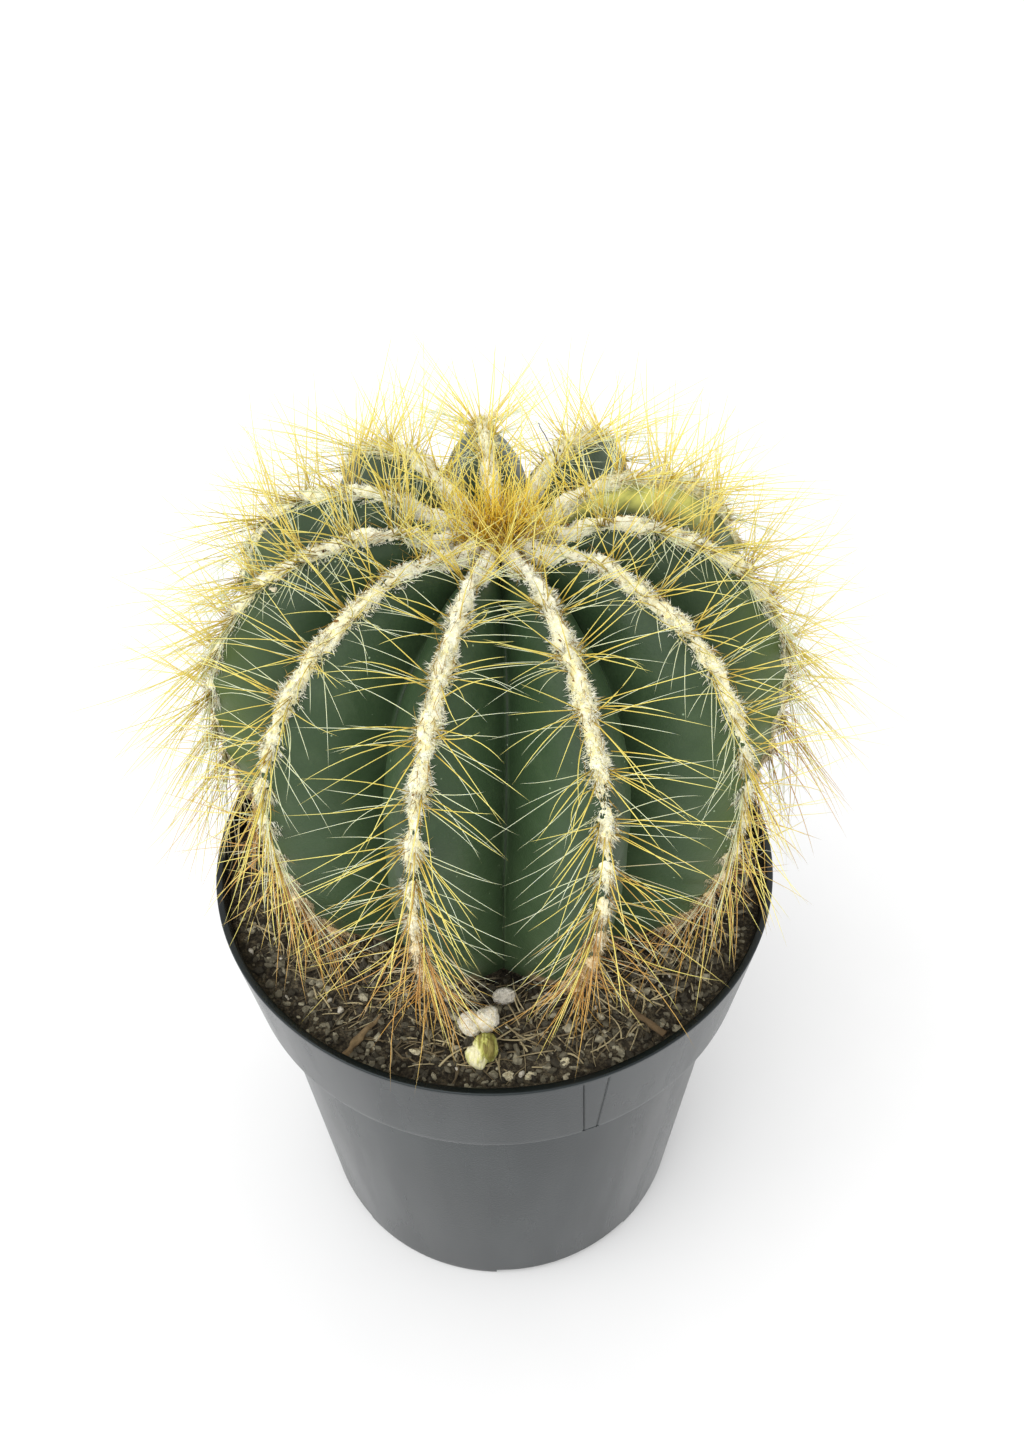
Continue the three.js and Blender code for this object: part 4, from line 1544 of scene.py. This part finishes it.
def scatterLumps(rng, spots, sizes, flat, seed, detail=1):
    # uneven lumps of these sizes, each turned and flattened by chance
    ball, faces = roundBall(detail)
    count = len(spots)
    widths, heights = rng.uniform(*lumpLook["widths"], count), rng.uniform(*flat, count)
    stretch = np.stack([np.ones(count), widths, heights], axis=-1)
    angle = fullTurn * rng.random(count)
    form = ball[None] * stretch[:, None]
    place = form * lumpLook["closer"] + np.arange(count)[:, None, None] * lumpLook["apart"]
    wobble = 1 + lumpLook["uneven"] * lumpiness(place, lumpLook["unevenSize"], seed)
    form = form * wobble[..., None] * sizes[:, None, None]
    x, y, z = np.moveaxis(form, -1, 0)
    c, s = np.cos(angle)[:, None], np.sin(angle)[:, None]
    points = np.stack([c * x - s * y, s * x + c * y, z], axis=-1) + spots[:, None]
    starts = (np.arange(count) * len(ball))[:, None, None]
    tone = np.repeat(rng.random(count), len(ball))
    return {"points": points.reshape(-1, 3), "faces": [(faces[None] + starts).reshape(-1, 3)],
            "map": np.stack([tone, tone], axis=-1)}


# tone is which number of a piece's map tells its strands or crumbs apart
grainKinds = {
    "crumb": {"roughness": 0.95, "gloss": 0.2, "tone": 0, "noise": (1300, 4, 0.7), "shares": (0.7, 0.5),
              "bump": 0.4},
    "fibre": {"roughness": 0.85, "gloss": 0.3, "tone": 1, "noise": (1200, 3, 0.6), "shares": (0.75, 0.3),
              "bump": 0.3},
}


def grainMaterial(name, kind, stops):
    look = grainKinds[kind]
    material, tree, shader = makeMaterial(name, look["roughness"], Specular_IOR_Level=look["gloss"])
    tone, grain = partMap(tree)[look["tone"]], noiseFactor(tree, *look["noise"])
    toneShare, grainShare = look["shares"]
    mixed = calculate(tree, "ADD", calculate(tree, "MULTIPLY", tone, toneShare),
                      calculate(tree, "MULTIPLY", grain, grainShare))
    setColour(tree, shader, colourRamp(tree, mixed, stops))
    addBump(tree, shader, grain, look["bump"])
    return material


def perliteMaterial(name, shade, light):
    material, tree, shader = makeMaterial(name, roughness=0.9, **softLight(0.1, 1.0, 1.0, 0.8))
    fine = noiseFactor(tree, 1400, 4, 0.7)
    setColour(tree, shader, mixColour(tree, fromRange(tree, fine, 0.3, 0.6), shade, light))
    addBump(tree, shader, fine, 0.6)
    return material


def makeCrumbs():
    rng = np.random.default_rng(soil["seed"])
    count = soil["crumbCount"]
    spots = openSoil(rng, count)
    sizes = rng.uniform(*soil["crumbSize"], count) * rng.uniform(*soil["crumbSpread"], count)
    spots[:, 2] += sizes * soil["crumbLift"]
    part = scatterLumps(rng, spots, sizes, soil["crumbFlat"], soil["crumbSeed"])
    dark = grainMaterial("peatCrumb", "crumb", soilColours["crumb"])
    makePiece("soilCrumbs", [part], [dark], ["potting_soil"], smooth=False)


def makeFibres():
    rng = np.random.default_rng(soil["seed"] + 1)
    count = soil["fibreCount"]
    spots = openSoil(rng, count, outer=soilRadius - soil["fibreOffEdge"])
    spots[:, 2] += soil["fibreLift"]
    azimuth = fullTurn * rng.random(count)
    ways = unit(around(azimuth, 1.0, rng.uniform(*soil["fibreRise"], count)))
    aside, droop = rng.normal(0, soil["fibreBend"], count), rng.uniform(*soil["fibreDroop"], count)
    bends = around(azimuth + math.pi / 2, aside, droop)
    sizes = rng.uniform(*soil["fibreLength"], count)
    ends = spots + ways * sizes[:, None]
    reach = np.hypot(ends[:, 0], ends[:, 1])
    inside = (reach < soilRadius - soil["offEdge"]) & (reach > soil["openFrom"])
    chosen = [a[inside] for a in (spots, ways, bends, sizes)]
    radii = rng.uniform(*soil["fibreRadius"], inside.sum())
    part = growBristles(*chosen, radii, steps=6, sides=4, tone=rng.random(inside.sum()), taper=3.0)
    material = grainMaterial("peatFibre", "fibre", soilColours["fibre"])
    makePiece("soilFibres", [part], [material], ["potting_soil"])


def makeGrit():
    rng = np.random.default_rng(soil["seed"] + 2)
    spots = openSoil(rng, soil["gritCount"], inner=soil["gritFrom"])
    sizes = rng.uniform(*soil["gritSize"], soil["gritCount"])
    spots[:, 2] += sizes * soil["gritLift"]
    part = scatterLumps(rng, spots, sizes, soil["gritFlat"], soil["gritSeed"], detail=2)
    makePiece("perliteGrit", [part], [perliteMaterial("perliteDust", *soilColours["grit"])])


makeSoilBed()
makeCrumbs()
makeFibres()
makeGrit()
print("soil: bed, crumbs, fibres and grit are made")


# the granules; each lump of one is (x, y, radius, flatness)

granules = {
    "perlite_twin": [(-4.1, -36.6, 2.1, 1.0), (-1.3, -36.2, 2.2, 1.0)],
    "perlite_grey": [(1.8, -31.1, 2.0, 1.0)],
    "pale_chip": [(-2.9, -43.2, 2.02, 1.0), (-1.5, -41.9, 2.1, 1.4)],
    "perlite_front_1": [(2.4, -46, 0.85, 0.6)],
    "perlite_front_2": [(6, -46.2, 0.75, 0.6)],
    "perlite_front_3": [(11.8, -43.8, 0.85, 0.6)],
    "perlite_left": [(-13.5, -41.4, 0.8, 0.6)],
    "perlite_side": [(-43.5, 6, 1.8, 0.8)],
    "perlite_back": [(14, 42, 2, 0.8)],
    "perlite_right": [(42.5, 14, 1.7, 0.8)],
}

# lumps over the first radius are evener, those over the second one are also round and stand higher
granuleLook = {
    "evenFrom": 1.5,
    "roundFrom": 2.0,
    "uneven": (0.2, 0.6),
    "unevenSize": 0.75,
    "fine": (0.1, 0.3),
    "fineSize": 0.25,
    "narrow": 0.72,
    "rises": (0.45, 0.1),
    "white": ("eedcb0", "fffaea"),
    "grey": ("a8a294", "dcd6c8"),
    "dusty": ("94876a", "e2d8b4"),
}

# cream at the lower left, green and brown towards the upper right; middle is a height
chipLook = {
    "middle": 96.5,
    "greenReach": (-4.5, 1.5),
    "streaks": (-0.45, 0.45),
    "colours": [(0.0, "f2ecc0"), (0.4, "dcd98c"), (0.75, "a9a84e"), (1.0, "857a3c")],
}


def granuleLump(ball, x, y, radius, flatness, seed):
    small, flat = radius <= granuleLook["evenFrom"], radius <= granuleLook["roundFrom"]
    rough = 1 + granuleLook["uneven"][small] * lumpiness(ball + x, granuleLook["unevenSize"], seed)
    rough = rough + granuleLook["fine"][small] * lumpiness(ball + y, granuleLook["fineSize"], seed)
    width = radius * granuleLook["narrow"] if flat else radius
    level = soilTop + soilRoll(x, y) + radius * flatness * granuleLook["rises"][flat]
    return ball * rough[:, None] * [radius, width, radius * flatness] + [x, y, level]


def makeGranules():
    white, grey, dusty = (perliteMaterial("perlite" + name.capitalize(), *granuleLook[name])
                          for name in ("white", "grey", "dusty"))
    special = {"pale_chip": chipMaterial(), "perlite_grey": grey, "perlite_twin": white}
    ball, faces = roundBall(detail=4)
    for seed, (node, lumps) in enumerate(granules.items()):
        parts = []
        for lump in lumps:
            points = granuleLump(ball, *lump, seed)
            parts.append({"points": points, "faces": [faces], "map": evenMap(points, 0.5)})
        first, *rest = node.split("_")
        name = first + "".join(word.capitalize() for word in rest)
        makePiece(name, parts, [special.get(node, dusty)], [node])


def chipMaterial():
    material, tree, shader = makeMaterial("paleChip", roughness=0.7, **softLight(0.15, 1.0, 1.0, 0.4))
    stripes = noiseFactor(tree, 1100, 4, 0.6, stretch=(1, 0.3, 0.25))
    x, _, z = splitParts(tree, ownSpace(tree))
    level = calculate(tree, "ADD", x, calculate(tree, "SUBTRACT", z, chipLook["middle"] * mm))
    low, high = (reach * mm for reach in chipLook["greenReach"])
    green = calculate(tree, "ADD", fromRange(tree, level, low, high),
                      fromRange(tree, stripes, 0.3, 0.7, chipLook["streaks"]), clamp=True)
    setColour(tree, shader, colourRamp(tree, green, chipLook["colours"]))
    addBump(tree, shader, stripes, 1.0)
    return material


makeGranules()
print("soil: perlite and the pale chip are made")


# the bark fibres, each as (x, y, length, azimuth of its thick end)

barkFibres = {
    "bark_fibre_1": (-23, -38.5, 10, -28),
    "bark_fibre_2": (25, -35.5, 11, 50),
    "bark_fibre_3": (-29, 30, 12, 35),
    "bark_fibre_4": (36, 22, 10, -20),
}


barkLook = {
    "radius": 0.6,
    "steps": 40,
    "sides": 12,
    "lift": 1.1,
    "rise": 0.05,
    "bend": (0.12, -0.05, -0.06),
    # height and width of its unevenness
    "roughness": (0.3, 1.3),
    "roughSeeds": (5, 6, 7),
    "colours": [(0.0, "3d3021"), (0.6, "6d5a40"), (1.1, "a8926a")],
    "seed": 97,
}


def makeBark():
    rng = np.random.default_rng(barkLook["seed"])
    material = grainMaterial("barkFibre", "fibre", barkLook["colours"])
    for node, (x, y, length, azimuth) in barkFibres.items():
        turned = math.radians(azimuth)
        way = np.array([[-math.sin(turned), math.cos(turned), barkLook["rise"]]])
        root = np.array([[x, y, soilTop + barkLook["lift"]]]) - way * length / 2
        bend, size, radius = (np.array([value]) for value in (barkLook["bend"], length, barkLook["radius"]))
        strand = growBristles(root, way, bend, size, radius, barkLook["steps"], barkLook["sides"],
                              rng.random(1), taper=2.5)
        strand["points"] = wander(strand["points"], *barkLook["roughness"], barkLook["roughSeeds"])
        makePiece("barkFibre" + node[-1], [strand], [material], [node])


makeBark()
print("soil: bark fibres are made")


# dry bits caught in the wool, a flake on one flank and a thin dry thread behind the crown

dryBits = {
    "count": 70,
    "start": 3,
    "reach": 60,
    "within": (0.2, 0.8),
    "size": (0.14, 0.42),
    "flat": (0.2, 0.5),
    "lumpSeed": 91,
    "flakeSpot": (3, 0.3, 0.21),
    "flakeSize": 0.75,
    "flakeFlat": (0.5, 0.6),
    "flakeSeed": 92,
    "flakeLift": 0.4,
    "sunkLess": 0.25,
    "brown": [(0.1, "2a1a0f"), (0.5, "5a3c20"), (1.0, "8d6a3a")],
    "cream": ("d8cba4", "f6eed2"),
    "grey": [(0.0, "2b2a28"), (0.6, "5b5852")],
    "thread": [(9.2, 10.0, 171.0), (10.7, 12.0, 176.0), (10.2, 12.6, 178.6), (9.0, 13.4, 180.4),
               (8.0, 14.0, 182.6)],
    "threadRadius": 0.13,
    "threadEnd": 0.5,
    "threadSides": 6,
    "threadSteps": 40,
    # height and width of its kinks
    "threadKinks": (0.25, 1.6),
    "kinkSeeds": (1, 2, 3),
    "seed": 67,
}


def makeDryBits():
    rng = np.random.default_rng(dryBits["seed"])
    count = dryBits["count"]
    ribs = rng.integers(0, ribCount, count)
    lengths = dryBits["start"] + dryBits["reach"] * rng.random(count) ** 2
    angles = math.pi * rng.uniform(*dryBits["within"], count)
    spots = []
    for rib, length, angle in zip(ribs, lengths[:, None], angles[:, None]):
        spot = woolPoint(rib, length, angle)
        spots.append(spot["point"][0] + dryBits["sunkLess"] * spot["normal"][0])
    sizes = rng.uniform(*dryBits["size"], count)
    part = scatterLumps(rng, np.array(spots), sizes, dryBits["flat"], dryBits["lumpSeed"], detail=2)
    brown = grainMaterial("dryBrown", "crumb", dryBits["brown"])
    makePiece("dryBits", [part], [brown])
    rib, u, across = dryBits["flakeSpot"]
    spot = skinPoint(rib, u, across) + dryBits["flakeLift"] * skinNormal(rib, u, across)
    flake = scatterLumps(rng, spot[None], np.array([dryBits["flakeSize"]]), dryBits["flakeFlat"],
                         dryBits["flakeSeed"], detail=4)
    makePiece("paleFlake", [flake], [perliteMaterial("flakeCream", *dryBits["cream"])])


def makeThread():
    knots = np.array(dryBits["thread"])
    line = splineAt(knots, np.linspace(0, 1, dryBits["threadSteps"]))
    line = wander(line, *dryBits["threadKinks"], dryBits["kinkSeeds"])
    forward = unit(np.gradient(line, axis=0))
    side = unit(np.cross(forward, [0.3, 1.0, 0.1]))
    other = np.cross(forward, side)
    sides = dryBits["threadSides"]
    angle = fullTurn * np.arange(sides)[:, None] / sides
    thick = dryBits["threadRadius"] * np.linspace(1, dryBits["threadEnd"], len(line))[:, None, None]
    rings = line[:, None] + thick * (side[:, None] * np.cos(angle) + other[:, None] * np.sin(angle))
    points = rings.reshape(-1, 3)
    part = {"points": points, "faces": tubeFaces(len(line), sides), "map": evenMap(points, 0.3)}
    grey = grainMaterial("dryThread", "fibre", dryBits["grey"])
    makePiece("dryThread", [part], [grey])


makeDryBits()
makeThread()
print("plant: dry bits, flake and thread are made")
